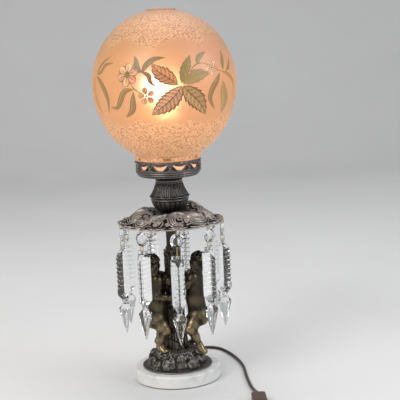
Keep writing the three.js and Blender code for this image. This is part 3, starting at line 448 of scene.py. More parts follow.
def addNode(tree, kind, inputs=None, **options):
    made = tree.nodes.new(kind)
    for key, value in options.items():
        setattr(made, key, value)
    for key, value in (inputs or {}).items():
        if isinstance(value, bpy.types.NodeSocket):
            tree.links.new(value, made.inputs[key])
        else:
            made.inputs[key].default_value = value
    return made


def newMaterial(name, **values):
    material = bpy.data.materials.new(name)
    material.use_nodes = True
    tree = material.node_tree
    surface = tree.nodes["Principled BSDF"]
    for key, value in values.items():
        surface.inputs[key].default_value = value
    return material, tree, surface


def setSurface(tree, surface, **sockets):
    for key, socket in sockets.items():
        tree.links.new(socket, surface.inputs[key.replace("_", " ")])


def objectPlace(tree):
    return addNode(tree, "ShaderNodeTexCoord").outputs["Object"]


def attributeOf(tree, name, output="Fac"):
    return addNode(tree, "ShaderNodeAttribute", attribute_name=name).outputs[output]


def noiseOf(tree, place, scale, detail=4.0, roughness=0.55, distortion=0.0):
    made = addNode(tree, "ShaderNodeTexNoise", {
        "Vector": place, "Scale": scale, "Detail": detail, "Roughness": roughness, "Distortion": distortion,
    })
    return made.outputs["Fac"]


def cellsOf(tree, place, scale):
    return addNode(tree, "ShaderNodeTexVoronoi", {"Vector": place, "Scale": scale}).outputs["Distance"]


def mathOf(tree, operation, a, b=0.0):
    return addNode(tree, "ShaderNodeMath", {0: a, 1: b}, operation=operation).outputs[0]


def rangeOf(tree, value, low, high, toLow=0.0, toHigh=1.0):
    made = addNode(tree, "ShaderNodeMapRange", {
        "Value": value, "From Min": low, "From Max": high, "To Min": toLow, "To Max": toHigh,
    })
    return made.outputs["Result"]


# A blend of two colours. Sockets 0, 6, 7 and 2 are the Mix node's factor, its two colours and its result.
def blendOf(tree, factor, a, b):
    a, b = ((*colour, 1) if isinstance(colour, tuple) else colour for colour in (a, b))
    return addNode(tree, "ShaderNodeMix", {0: factor, 6: a, 7: b}, data_type="RGBA").outputs[2]


# From one colour to the other as a value goes from low to high.
def mottled(tree, value, low, high, a, b):
    return blendOf(tree, rangeOf(tree, value, low, high), a, b)


# A value moved up and down by noise, by up to reach each way.
def swayed(tree, value, noise, reach):
    return mathOf(tree, "ADD", value, rangeOf(tree, noise, 0.3, 0.7, -reach, reach))


def bumpOf(tree, height, strength, distance):
    made = addNode(tree, "ShaderNodeBump", {"Height": height, "Strength": strength, "Distance": distance})
    return made.outputs["Normal"]


# Cast metal under dark patina: deep colour in the grooves, bare metal where hands and cloth have rubbed the
# edges, cloudy changes between, and a fine sandy skin. The last argument paints shade: it fades the rubbed
# colour out with height, so that the upper parts stay dark; two heights in metres, and how much of it is left
# at each.
def castMaterial(name, deep, body, rubbed, tint, rubStart=0.52, rubEnd=0.9, metal=0.75, gloss=0.38,
                 paintedShadeAbove=None):
    material, tree, surface = newMaterial(name, Metallic=metal)
    place = objectPlace(tree)
    cloud = noiseOf(tree, place, 55, 5)
    fine = noiseOf(tree, place, 420, 3)
    relief = attributeOf(tree, "relief")
    worn = swayed(tree, relief, cloud, 0.08)
    worn = swayed(tree, worn, fine, 0.05)
    ground = mottled(tree, cloud, 0.42, 0.66, body, tint)
    dark = mottled(tree, worn, 0.28, 0.5, deep, ground)
    polish = rangeOf(tree, worn, rubStart, rubEnd)
    # Painted shade: the bright rubbed colour is faded out with height, so that upper parts stay dark.
    if paintedShadeAbove:
        apart = addNode(tree, "ShaderNodeSeparateXYZ", {"Vector": place})
        height = swayed(tree, apart.outputs["Z"], cloud, 0.012)
        polish = mathOf(tree, "MULTIPLY", polish, rangeOf(tree, height, *paintedShadeAbove))
    colour = blendOf(tree, polish, dark, rubbed)
    rough = rangeOf(tree, worn, 0.3, 0.85, gloss + 0.24, gloss - 0.06)
    rough = swayed(tree, rough, fine, 0.05)
    grain = bumpOf(tree, fine, 0.25, 0.0006)
    setSurface(tree, surface, Base_Color=colour, Roughness=rough, Normal=grain)
    return material


# White marble: cloudy warm white with faint grey veins where folded noise passes its middle value.
def marbleMaterial():
    material, tree, surface = newMaterial("honed marble")
    place = objectPlace(tree)
    bent = noiseOf(tree, place, 9, 6, 0.6, 1.6)
    vein = mathOf(tree, "ABSOLUTE", mathOf(tree, "SUBTRACT", bent, 0.5))
    thin = rangeOf(tree, vein, 0.0, 0.045, 1.0, 0.0)
    patch = noiseOf(tree, place, 26, 4)
    faint = mathOf(tree, "MULTIPLY", thin, rangeOf(tree, patch, 0.42, 0.68))
    cloud = mottled(tree, patch, 0.35, 0.7, (0.80, 0.79, 0.755), (0.72, 0.715, 0.70))
    colour = blendOf(tree, mathOf(tree, "MULTIPLY", faint, 0.55), cloud, (0.46, 0.47, 0.48))
    speck = noiseOf(tree, place, 900, 2)
    rough = rangeOf(tree, speck, 0.3, 0.7, 0.3, 0.42)
    setSurface(tree, surface, Base_Color=colour, Roughness=rough, Normal=bumpOf(tree, speck, 0.08, 0.0004))
    return material


def feltMaterial():
    material, tree, surface = newMaterial("green felt", Roughness=0.95)
    fibre = noiseOf(tree, objectPlace(tree), 1400, 4, 0.7)
    colour = mottled(tree, fibre, 0.3, 0.7, (0.022, 0.042, 0.026), (0.06, 0.095, 0.062))
    setSurface(tree, surface, Base_Color=colour, Normal=bumpOf(tree, fibre, 0.6, 0.0006))
    return material


# Cut glass: clear, with a trace of seeds and polish haze in its roughness.
def cutGlassMaterial():
    material, tree, surface = newMaterial("cut glass", IOR=1.54)
    surface.inputs["Transmission Weight"].default_value = 1.0
    haze = noiseOf(tree, objectPlace(tree), 160, 3)
    tone = mottled(tree, haze, 0.3, 0.7, (0.955, 0.97, 0.98), (0.985, 0.99, 0.99))
    setSurface(tree, surface, Base_Color=tone, Roughness=rangeOf(tree, haze, 0.35, 0.75, 0.0, 0.04))
    return material


def brassMaterial(name, colour, dull, gloss=0.28):
    material, tree, surface = newMaterial(name, Metallic=1.0)
    place = objectPlace(tree)
    tarnish = noiseOf(tree, place, 130, 4)
    tone = mottled(tree, tarnish, 0.42, 0.7, colour, dull)
    rough = rangeOf(tree, tarnish, 0.3, 0.7, gloss, gloss + 0.2)
    setSurface(tree, surface, Base_Color=tone, Roughness=rough)
    return material


# Painted and lit frosted glass. Light from the bulb inside comes through as a glow that the paint tints, and
# grains of chipped glass above and below the band scatter it in specks. A painted hot spot on the front turns
# the glow near white where the bulb shows through.
def globeMaterial():
    material, tree, surface = newMaterial("frosted peach glass", IOR=1.45)
    surface.inputs["Transmission Weight"].default_value = 0.32
    place = objectPlace(tree)
    chipped = attributeOf(tree, "chipped")
    blush = attributeOf(tree, "blush")
    cloud = noiseOf(tree, place, 14, 3)
    grain = cellsOf(tree, place, 420)
    speck = noiseOf(tree, place, 330, 3, 0.6)
    peach = mottled(tree, cloud, 0.3, 0.7, (0.60, 0.352, 0.162), (0.565, 0.325, 0.17))
    peach = blendOf(tree, blush, peach, (0.61, 0.355, 0.24))
    dark = mottled(tree, speck, 0.47, 0.6, (0.82, 0.55, 0.32), (0.30, 0.145, 0.07))
    colour = blendOf(tree, mathOf(tree, "MULTIPLY", chipped, 0.6), peach, dark)
    colour = blendOf(tree, attributeOf(tree, "dabs"), colour, (0.17, 0.06, 0.025))
    # Painted highlight: the hot spot is a fixed near-white patch on the globe's front.
    light = blendOf(tree, attributeOf(tree, "paintedHotSpot"), colour, (1.0, 0.93, 0.82))
    height = mathOf(tree, "MULTIPLY", chipped, mathOf(tree, "ADD", grain, speck))
    rough = rangeOf(tree, chipped, 0.0, 1.0, 0.36, 0.5)
    glow = attributeOf(tree, "glow")
    setSurface(tree, surface, Base_Color=colour, Roughness=rough, Normal=bumpOf(tree, height, 0.5, 0.0011),
               Emission_Color=light, Emission_Strength=glow)
    return material


# Enamel painted on the globe: each stroke's own tint with paler brush streaks.
def enamelMaterial():
    material, tree, surface = newMaterial("painted enamel", Roughness=0.42)
    tint = attributeOf(tree, "tint", "Color")
    streak = noiseOf(tree, objectPlace(tree), 320, 4)
    colour = blendOf(tree, rangeOf(tree, streak, 0.3, 0.75, 0.0, 0.22), tint, (0.62, 0.38, 0.19))
    setSurface(tree, surface, Base_Color=colour, Emission_Color=colour,
               Emission_Strength=attributeOf(tree, "glow"), Normal=bumpOf(tree, streak, 0.2, 0.0005))
    return material


def bulbMaterial():
    material, tree, surface = newMaterial("lit bulb", Roughness=0.4)
    top = attributeOf(tree, "lit")
    tone = blendOf(tree, top, (0.55, 0.42, 0.26), (1.0, 0.88, 0.70))
    setSurface(tree, surface, Base_Color=tone, Emission_Color=tone,
               Emission_Strength=rangeOf(tree, top, 0.0, 1.0, 0.0, 75.0))
    return material


# Moulded plastic with faint swirls and a fine spark-eroded skin.
def plasticMaterial(name, colour, second, gloss):
    material, tree, surface = newMaterial(name)
    place = objectPlace(tree)
    swirl = noiseOf(tree, place, 70, 3, 0.5, 0.8)
    skin = noiseOf(tree, place, 1500, 2)
    tone = mottled(tree, swirl, 0.35, 0.7, colour, second)
    rough = rangeOf(tree, swirl, 0.3, 0.7, gloss, gloss + 0.1)
    rough = swayed(tree, rough, skin, 0.03)
    setSurface(tree, surface, Base_Color=tone, Roughness=rough, Normal=bumpOf(tree, skin, 0.12, 0.0003))
    return material


# Cord: a smooth brown jacket with dust on it.
def cordMaterial():
    material, tree, surface = newMaterial("brown cord")
    place = objectPlace(tree)
    dust = noiseOf(tree, place, 90, 5)
    skin = noiseOf(tree, place, 900, 2)
    tone = mottled(tree, dust, 0.4, 0.75, (0.030, 0.017, 0.013), (0.065, 0.042, 0.034))
    setSurface(tree, surface, Base_Color=tone, Roughness=rangeOf(tree, dust, 0.3, 0.7, 0.34, 0.5),
               Normal=bumpOf(tree, skin, 0.15, 0.0004))
    return material


finishes = {
    "bronze": castMaterial("dark bronzed casting", (0.006, 0.005, 0.0045), (0.036, 0.028, 0.022),
                           (0.17, 0.14, 0.115), (0.050, 0.036, 0.026)),
    # The figures' last numbers paint shade: their rubbed colour fades out above 0.126 m, darkening the upper
    # bodies.
    "figures": castMaterial("rubbed golden bronze", (0.006, 0.005, 0.004), (0.026, 0.021, 0.017),
                            (0.29, 0.22, 0.12), (0.050, 0.039, 0.026), 0.55, 0.86, 0.78, 0.3,
                            (0.166, 0.126, 0.2, 1.0)),
    "rocks": castMaterial("grey stone casting", (0.016, 0.014, 0.012), (0.066, 0.058, 0.050),
                          (0.21, 0.198, 0.18), (0.085, 0.072, 0.060), 0.53, 0.85, 0.55, 0.44),
    "scrolls": castMaterial("pale rubbed casting", (0.012, 0.010, 0.009), (0.082, 0.066, 0.059),
                            (0.45, 0.40, 0.37), (0.11, 0.085, 0.072), 0.55, 0.8, 0.7, 0.38),
    "vase": castMaterial("grey bronzed casting", (0.005, 0.0045, 0.004), (0.030, 0.026, 0.023),
                         (0.19, 0.175, 0.162), (0.042, 0.038, 0.034), 0.52, 0.82, 0.75, 0.34),
    "marble": marbleMaterial(),
    "felt": feltMaterial(),
    "glass": cutGlassMaterial(),
    "brass": brassMaterial("satin brass", (0.62, 0.43, 0.17), (0.40, 0.27, 0.11)),
    "steel": brassMaterial("zinc plated steel", (0.50, 0.49, 0.46), (0.33, 0.31, 0.28), 0.35),
    "globe": globeMaterial(),
    "enamel": enamelMaterial(),
    "bulb": bulbMaterial(),
    "cord": cordMaterial(),
    "plug": plasticMaterial("brown moulded plastic", (0.034, 0.019, 0.014), (0.052, 0.031, 0.023), 0.42),
    "switch": plasticMaterial("brown switch plastic", (0.055, 0.026, 0.016), (0.080, 0.040, 0.026), 0.3),
    "wheel": plasticMaterial("cream plastic", (0.72, 0.66, 0.55), (0.64, 0.57, 0.46), 0.3),
    "tie": plasticMaterial("black tie", (0.012, 0.012, 0.012), (0.03, 0.03, 0.03), 0.55),
}
print("materials made")


# Cord: the route's points repeat the frame's, in metres, and the coil's turns follow the frame's formula.

cordPlan = {
    "length": 1.8,
    "diameter": 5.5 * mm,
    "lie": 0.1 * mm,
    "gap": 0.3 * mm,
    "bushing": 20 * mm,
    "route": [
        (0, 0.102, 0.0095), (0.0005, 0.112, 0.0092), (0.0035, 0.124, 0.0074), (0.0095, 0.135, 0.005),
        (0.0185, 0.1445, 0.0034), (0.0295, 0.1515, 0.0029), (0.0415, 0.1558, 0.0029), (0.054, 0.1576, 0.0029),
        (0.0665, 0.1564, 0.0029), (0.0775, 0.1512, 0.0029), (0.087, 0.142, 0.0029), (0.096, 0.126, 0.0029),
        (0.104, 0.1075, 0.0029), (0.1106, 0.088, 0.0029), (0.116, 0.067, 0.0029), (0.1204, 0.045, 0.0029),
        (0.1228, 0.022, 0.0029), (0.1236, -0.004, 0.0029), (0.124, -0.032, 0.0029), (0.1256, -0.062, 0.0029),
        (0.1284, -0.092, 0.003), (0.1314, -0.112, 0.0039), (0.1338, -0.128, 0.0066), (0.1348, -0.138, 0.008),
        (0.135, -0.146, 0.0084),
    ],
    "switchLength": 58 * mm,
    "lead": 34 * mm,
    "leadShares": [0, 0.2, 0.42, 0.64, 0.84, 1],
    "dropShares": (0.1, 0.75),
    "turns": 6.25,
    "pitch": 6.1 * mm,
    "tail": 27 * mm,
    "sides": 16,
}


# The whole cord: the free route to the switch, and from the switch a lead, a coil in two layers that winds in
# and out again at a steady rate, and a straight tail to the plug.
def cordPaths(plan):
    free = throughPoints(plan["route"], 12)
    endX, endY, endZ = plan["route"][-1]
    lie = plan["diameter"] / 2 + plan["lie"]
    start = endY - 2 * plan["gap"] - plan["switchLength"]
    shares = np.array(plan["leadShares"])
    drop = softStep((shares - plan["dropShares"][0]) / plan["dropShares"][1])
    lead = np.stack([endX + 0 * shares, start - plan["lead"] * shares, endZ + (lie - endZ) * drop], 1)
    lead = throughPoints(lead, 8)
    coiled = plan["length"] - pathLength(free) - plan["switchLength"] - pathLength(lead) - plan["bushing"]
    turns, pitch = plan["turns"], plan["pitch"]
    inner = (coiled - plan["diameter"] - plan["tail"]) / (2 * pi * turns) - pitch * turns / 4
    outer = inner + pitch * turns / 2
    coilY = start - plan["lead"] - plan["gap"] - plan["diameter"]
    turn = np.linspace(0, turns, int(48 * turns) + 1)
    fromMiddle = turn - turns / 2
    r = inner + pitch * np.abs(fromMiddle)
    z = lie + pitch * softStep(2 * fromMiddle + 0.5)
    coil = np.stack([endX - outer + r * np.cos(2 * pi * turn), coilY - r * np.sin(2 * pi * turn), z], 1)
    tail = coil[-1] + np.linspace(0, 1, 9)[1:, None] * np.array([-plan["tail"], 0, 0])
    wound = np.concatenate([lead, coil, tail])
    return free, wound, coil, (endX - outer, coilY, inner, outer)


def makeCords(plan):
    free, wound, coil, middle = cordPaths(plan)
    ring = circle(plan["sides"]) * plan["diameter"] / 2
    freeCord = tubePiece("cord_free", flatTube(free, ring))
    woundCord = tubePiece("cord_wound", flatTube(wound, ring))
    fit(freeCord, "cord", "cord_brown", "cord")
    fit(woundCord, "cord", "cord_brown", "cord_to_coil", "cord_coil")
    return freeCord, woundCord, free, wound, coil, middle


freeCord, woundCord, freePath, woundPath, coilPath, coilMiddle = makeCords(cordPlan)


# Strain relief: a flanged rubber sleeve with ribs that tapers to the cord.
bushingShape = {
    "height": 9.5 * mm, "inside": 63 * mm, "face": 79.3 * mm, "flange": 2.4 * mm, "flangeRadius": 7.4 * mm,
    "radius": 5 * mm, "tip": 3.9 * mm, "end": 101.7 * mm, "ribs": 5, "ribDepth": 0.55 * mm,
}


def makeBushing(s):
    y0, y1, y2 = s["face"], s["face"] + s["flange"], s["end"]
    thin, wide = s["radius"], s["flangeRadius"]
    corners = [(0, s["inside"]), (thin, s["inside"]), (thin, y0), (wide, y0), (wide, y1), (thin, y1),
               (s["tip"], y2), (0, y2)]
    outline = rounded(corners, 0.6 * mm, 0.45 * mm, False)
    r, y = outline[:, :1], outline[:, 1:]
    along = (y - y1) / (y2 - y1)
    groove = np.where((along > 0.08) & (along < 0.95), np.sin(along * s["ribs"] * pi) ** 8, 0)
    r = np.maximum(r - s["ribDepth"] * groove * (r > s["tip"] * 0.9), 0)
    grid = rings(r, y, turnAngles(40))
    grid = np.stack([grid[..., 0], grid[..., 2], s["height"] - grid[..., 1]], -1)
    return weld(makePiece("cord_sleeve", grid, [gridFaces(*grid.shape[:2])]))


cordSleeve = fit(makeBushing(bushingShape), "plug", "plug_brown", "cord_bushing")


# In-line switch: a case whose section is a rounded rectangle that grows and shrinks along it, with a seam
# round its middle, a slot and a milled thumb wheel.
switchShape = {
    "middle": (0.135, -0.1753, 0.0084), "length": 58 * mm, "width": 25 * mm, "height": 16.4 * mm,
    "nose": 9 * mm, "noseHeight": 10 * mm, "wheelX": 0.141, "wheelRadius": 9 * mm, "wheelThickness": 4 * mm,
    "wheelBore": 2.3 * mm, "teeth": 28, "slotHalf": 2.6 * mm, "slotClear": 0.7 * mm,
}


def makeSwitch(s):
    t = np.linspace(-1, 1, 61)
    shoulder = softStep((1 - np.abs(t)) / 0.30)
    half = s["nose"] / 2 + (s["width"] - s["nose"]) / 2 * shoulder
    high = s["noseHeight"] / 2 + (s["height"] - s["noseHeight"]) / 2 * shoulder
    tip = softStep((1 - np.abs(t)) / 0.035) ** 0.5 * 0.14 + 0.86
    x, z = circle(64, 0.38).T
    seam = 1 - 0.05 * bell(z, 0.10)
    cx, cy, cz = s["middle"]
    grid = np.stack([cx + (half * tip)[:, None] * x * seam, cy + (t * s["length"] / 2)[:, None] + 0 * x,
                     cz + (high * tip)[:, None] * z], -1)
    case = tubePiece("switch_case", grid)
    axis = np.array([s["wheelX"], cy, cz])
    reach, half = s["wheelRadius"] + s["slotClear"], s["slotHalf"]
    outline = np.array([(0, -half), (reach, -half), (reach, half), (0, half)])
    grid = rings(outline[:, :1], outline[:, 1:], turnAngles(64)) + axis
    carve(case, weld(makePiece("slot_cutter", grid, [gridFaces(*grid.shape[:2])], False)))
    return case, makeWheel(s, axis)


def makeWheel(s, axis):
    half, inside, reach = s["wheelThickness"] / 2, s["wheelBore"], s["wheelRadius"]
    outline = rounded([(inside, -half), (reach, -half), (reach, half), (inside, half)], 0.5 * mm, 0.35 * mm)
    angles = turnAngles(s["teeth"] * 8)
    r, z = outline[:, :1], outline[:, 1:]
    milled = 0.35 * mm * softStep((r / reach - 0.9) / 0.08) * (0.5 - 0.5 * np.cos(angles * s["teeth"]))
    grid = rings(r - milled, z, angles) + axis
    return makePiece("thumb_wheel", grid, [gridFaces(*grid.shape[:2], wrapRows=True)])


switchCase, thumbWheel = makeSwitch(switchShape)
fit(switchCase, "switch", "switch_brown", "line_switch")
fit(thumbWheel, "wheel", "wheel_cream", "switch_wheel", body="wheel")


# Plug: a moulded grip with finger ribs that narrows to the cord, and two flat blades.
plugShape = {
    "start": float(woundPath[-1][0]) - 0.3 * mm, "y": float(woundPath[-1][1]), "z": 9.05 * mm,
    "length": 30 * mm, "width": 24 * mm, "height": 17 * mm, "nose": 11 * mm, "ribs": 4, "bladeRoot": 1.5 * mm,
    "bladeLength": 17 * mm, "bladeWidth": 6.3 * mm, "bladeThickness": 1.5 * mm, "bladeSpacing": 12.7 * mm,
}


def makePlug(s):
    t = np.linspace(0, 1, 70)
    widen = softStep(t / 0.38)
    half = s["nose"] / 2 + (s["width"] - s["nose"]) / 2 * widen
    high = s["nose"] / 2 + (s["height"] - s["nose"]) / 2 * widen
    end = 1 - 0.10 * softStep((t - 0.94) / 0.06)
    wave = 0.5 - 0.5 * np.cos(2 * pi * s["ribs"] * (t - 0.2) / 0.55)
    ribs = 1 - 0.035 * np.where((t > 0.2) & (t < 0.75), wave, 0)
    y, z = circle(56, 0.45).T
    scale = (end * ribs)[:, None]
    grid = np.stack([s["start"] - (t * s["length"])[:, None] + 0 * y, s["y"] + half[:, None] * scale * y,
                     s["z"] + high[:, None] * scale * z], -1)
    body = tubePiece("plug_grip", grid)
    run = np.array([(0, 1), (0.86, 1), (1, 0.62)])
    outline = rounded(np.concatenate([run, run[::-1] * (1, -1)]), 0.03, 0.05)
    x = s["start"] - s["length"] + s["bladeRoot"] - outline[:, 0] * (s["bladeLength"] + s["bladeRoot"])
    z = s["z"] + outline[:, 1] * s["bladeWidth"] / 2
    items = []
    for side in (-1, 1):
        faces = [s["y"] + (side * s["bladeSpacing"] + lean * s["bladeThickness"]) / 2 for lean in (-1, 1)]
        items.append((np.stack([np.stack([x, 0 * x + y, z], 1) for y in faces]), False, True))
    return body, makePiece("plug_blades", *joinGrids(items), smooth=False, closed=False)


plugGrip, plugBlades = makePlug(plugShape)
fit(plugGrip, "plug", "plug_brown", "plug")
fit(plugBlades, "brass", "brass")


# Tie: a strap round the coil's section, a rounded rectangle standing across the turns.
tieShape = {"angle": 200, "width": 7 * mm, "thickness": 0.9 * mm, "clear": 0.35 * mm}


def makeTie(s, plan, middle):
    x0, y0, inner, outer = middle
    half = plan["diameter"] / 2 + s["clear"] + s["thickness"] / 2
    inside, outside = inner - half - 0.1 * mm, outer + half - plan["pitch"] * 0.35
    low = plan["lie"] + s["thickness"] / 2
    high = plan["lie"] + plan["diameter"] + plan["pitch"] + s["clear"] + s["thickness"]
    loop = rounded([(inside, low), (outside, low), (outside, high), (inside, high)], 4.5 * mm, 0.8 * mm)
    out, along = directions(np.radians(s["angle"]))
    centre = np.array([x0, y0, 0])
    side = unit(np.stack([np.gradient(loop[:, 1]), -np.gradient(loop[:, 0])], 1))
    section = rounded([(-1, -1), (1, -1), (1, 1), (-1, 1)], 0.3, 0.34)
    flat = loop[:, None] + side[:, None] * section[None, :, 1:] * s["thickness"] / 2
    wide = np.broadcast_to(section[None, :, :1] * s["width"] / 2, flat[..., :1].shape)
    grid = centre + out * flat[..., :1] + along * wide + upright * flat[..., 1:]
    return makePiece("coil_tie", grid, [gridFaces(*grid.shape[:2], wrapRows=True)])


coilTie = fit(makeTie(tieShape, cordPlan, coilMiddle), "tie", "plug_brown")
print("cord, switch and plug made:", round(pathLength(freePath), 3), "m free,",
      round(pathLength(woundPath), 3), "m wound")


# Foot: felt, a marble disc and the rocks. Outlines are (radius, height) pairs in mm, and a closed outline
# goes round a bore for the pipe.

bore = 5.4


# A turned piece from an outline in mm. change takes radii, heights and angles and gives new radii and
# heights.
def turnedPiece(name, outline, steps, closed=True, change=None):
    angles = turnAngles(steps)
    r, z = outline[:, :1] + 0 * angles, outline[:, 1:] + 0 * angles
    if change:
        r, z = change(r, z, angles)
    obj = makePiece(name, rings(r, z, angles) * mm, [gridFaces(len(outline), steps, wrapRows=closed)])
    return obj if closed else weld(obj)


footShape = {
    "felt": (76, 1.5), "marbleRadius": 79, "marble": (1.8, 23), "topRound": 3.5, "bottomRound": 0.9,
    "recess": (21, 12.8),
}


def makeFoot(s):
    feltRadius, feltTop = s["felt"]
    low, high = s["marble"]
    recess, recessTop = s["recess"]
    corners = [(0, 0), (feltRadius, 0), (feltRadius, feltTop), (0, feltTop)]
    felt = turnedPiece("felt_disc", rounded(corners, 0.3, 1.2, False), 160, False)
    corners = [(bore, recessTop), (recess, recessTop), (recess, low), (s["marbleRadius"], low),
               (s["marbleRadius"], high), (bore, high)]
    radii = [0.3, 0.3, 0.6, s["bottomRound"], s["topRound"], 0.3]
    return felt, turnedPiece("marble_disc", rounded(corners, radii, 0.8), 240)


feltDisc, marbleDisc = makeFoot(footShape)
fit(feltDisc, "felt", "felt", "felt_pad")
fit(marbleDisc, "marble", "marble", "marble_base")


# Boulders are (degrees round, place out, half width, half depth, height), the last four as shares of the
# radius.
rockShape = {
    "bottom": 23.3, "radius": 63.6, "edge": 2.4, "ground": 6.5, "seat": 26.4, "seatRadius": 23.6,
    "crest": 32.5, "crestRadius": 31, "bump": 1.5, "footShares": (0.86, 0.07, 0.05), "sink": 1.6,
    "melt": 1.5, "rows": 150, "columns": 430,
    "boulders": [
        (247, 0.72, 0.17, 0.12, 0.1), (279, 0.62, 0.15, 0.12, 0.11), (309, 0.7, 0.18, 0.13, 0.1),
        (340, 0.64, 0.15, 0.12, 0.11), (10, 0.72, 0.16, 0.12, 0.1), (43, 0.63, 0.16, 0.13, 0.1),
        (77, 0.7, 0.17, 0.12, 0.11), (110, 0.62, 0.15, 0.12, 0.1), (146, 0.7, 0.17, 0.13, 0.1),
        (180, 0.66, 0.15, 0.12, 0.11), (214, 0.62, 0.16, 0.12, 0.1),
    ],
}


# Height of the rocks over their foot: ground that rises from a thin edge, a soft step up at the rocks'
# foot, low waves in angle and radius, and a flat seat under the trunk.
def rockHeight(s, r, angle):
    mean, sideSwing, smallSwing = s["footShares"]
    foot = s["radius"] * (mean - sideSwing * np.cos(angle) + smallSwing * np.cos(3 * angle + 1))
    rise = softStep((s["radius"] - r) / (s["radius"] - foot * 0.8))
    ground = s["edge"] + (s["ground"] - s["edge"]) * rise
    rocks = softStep((foot - r) / (foot - s["crestRadius"]))
    waves = np.cos(5 * angle + 1.3) + 0.8 * np.cos(8 * angle - 7 * r / s["radius"])
    heaped = ground + (s["crest"] - s["ground"]) * rocks ** 0.8 + s["bump"] * waves * rocks * (1.3 - rocks)
    seat = softStep((s["seatRadius"] + s["bump"] - r) / s["bump"])
    return heaped * (1 - seat) + s["seat"] * seat, rocks


# How high the boulders stand at a place: domes over their own middles, as in the frame, with rough outlines.
def boulderHeight(s, r, angle, rough):
    top = np.full(np.broadcast(r, angle).shape, -99.0)
    x, y = r * np.cos(angle), r * np.sin(angle)
    for degrees, out, half, depth, height in s["boulders"]:
        a, reach = np.radians(degrees), s["radius"] * out
        away = x * np.cos(a) + y * np.sin(a) - reach
        side = -x * np.sin(a) + y * np.cos(a)
        inside = 1 - (away / (s["radius"] * depth)) ** 2 - (side / (s["radius"] * half)) ** 2 + rough
        middle = rockHeight(s, np.array(reach), np.array(a))[0] - s["sink"]
        dome = middle + s["radius"] * height * np.where(inside > 0, np.abs(inside) ** 0.8, 1.5 * inside)
        top = np.maximum(top, dome)
    return top


# Broken stone: each strewn cell is cut by its own tilted plane, so that its skin lies in flat facets with
# steps between them.
def facets(points, size, seed, tilt):
    cell = strewn(points, size, seed)[2]
    offset = points / size - cell - cellPlace(cell, seed)
    lean = cellPlace(cell, seed, 6) - 0.5
    return size * ((lean * offset).sum(-1) * tilt + (cellNumbers(cell, seed, 9) - 0.5) * 0.5)


# The rocks' skin: ground and boulders, broken into large and small facets with cracks between the large ones,
# and a chiselled grain.
def makeRocks(s):
    angles = turnAngles(s["columns"])
    share = np.linspace(0, 1, s["rows"])[:, None]
    r = s["radius"] + (bore - s["radius"]) * share + 0 * angles
    height, rocks = rockHeight(s, r, angles)
    stones = boulderHeight(s, r, angles, 0.32 * softNoise(rings(r, 0 * r, angles), 8, 21, 2))
    melt = s["melt"]
    level = melt * np.logaddexp(height / melt, np.maximum(stones, height - 20) / melt)
    top = rings(r, s["bottom"] + level, angles)
    normals = upwardNormals(top)
    warped = top * (1, 1, 1.2) + 1.2 * softNoise(top, 14, 5)[..., None]
    near, second, _ = strewn(warped, 18, 11)
    weight = softStep((s["radius"] - r) / 5) * (0.2 + 0.8 * softStep((r - 20) / 8))
    weight = weight * (0.25 + 0.75 * softStep(rocks * 3))
    seam = bell(height - stones, 0.7)
    push = 1.5 * (0.55 - near ** 1.6) + 0.36 * facets(warped, 13, 19, 1.5) + 0.3 * facets(top, 6, 23, 0.7)
    push += -1.5 * bell(second - near, 0.03) - 0.6 * seam + 0.14 * softNoise(top, 2.4, 9)
    top = top + normals * (np.clip(push, -2.4, 2.2) * weight)[..., None]
    rim = s["radius"] - 0.5
    foot = ((bore, 0), (rim * 0.6, 0), (rim, 0), (s["radius"], 0.5), (s["radius"], 1.4))
    side = [rings(radius, s["bottom"] + up, angles) for radius, up in foot]
    grid = np.concatenate(side + [top])
    return makePiece("boulders", grid * mm, [gridFaces(*grid.shape[:2], wrapRows=True)])


fitCast(makeRocks(rockShape), "rocks", "bronzed_casting", "rock_mound", 0.45, 8)


# Trunk: long bark plates round a body that widens to its root, twisting slowly upward.
trunkShape = {
    "bottom": 50, "height": 189, "root": 21.4, "top": 14.6, "bark": 1.2, "rows": 200, "columns": 220,
}


# The trunk's radius: a body that narrows upward from the root, bark waves that wind round it, and knots.
def trunkRadius(s, share, angle):
    body = s["top"] + (s["root"] - s["top"]) * np.maximum(1 - share, 0) ** 2.4
    bark = np.cos(5 * angle + 4 * share) + 0.6 * np.cos(8 * angle - 7 * share + 1)
    knots = np.cos(2 * angle + 9 * share) * np.sin(11 * share)
    return body + s["bark"] * (0.55 * bark + 0.6 * knots)


def makeTrunk(s):
    angles = turnAngles(s["columns"])
    share = np.linspace(0, 1, s["rows"])[:, None] + 0 * angles
    r = trunkRadius(s, share, angles)
    surface = rings(r, s["bottom"] + s["height"] * share, angles)
    twisted = rings(r, surface[..., 2] * 0.26, angles + 0.9 * share)
    near, second, _ = strewn(twisted + 1.2 * softNoise(surface, 9, 3)[..., None], 5.4, 31)
    fine = softNoise(twisted * (1, 1, 0.6), 2.2, 8)
    ends = softStep(share / 0.02) * softStep((1 - share) / 0.02)
    r = r + ends * (0.9 * (0.7 - near) - 1.0 * bell(second - near, 0.16) + 0.45 * fine)
    inner = np.full((1, s["columns"]), bore)
    r = np.concatenate([inner, r, inner])
    z = np.concatenate([surface[:1, :, 2], surface[..., 2], surface[-1:, :, 2]])
    return makePiece("bark", rings(r, z, angles) * mm, [gridFaces(*r.shape, wrapRows=True)])


fitCast(makeTrunk(trunkShape), "bronze", "bronzed_casting", "tree_trunk", 0.28, 6)


# Column above the trunk: a plain tube between turned rings, each (place, radius). Places below 0 count down
# from the top.
columnShape = {
    "bottom": 239.3, "top": 302.7, "radius": 10, "ringHalf": 1.5,
    "rings": [(2.2, 12.6), (5.2, 11.2), (-2.4, 12.8), (-5.6, 11.2)],
}


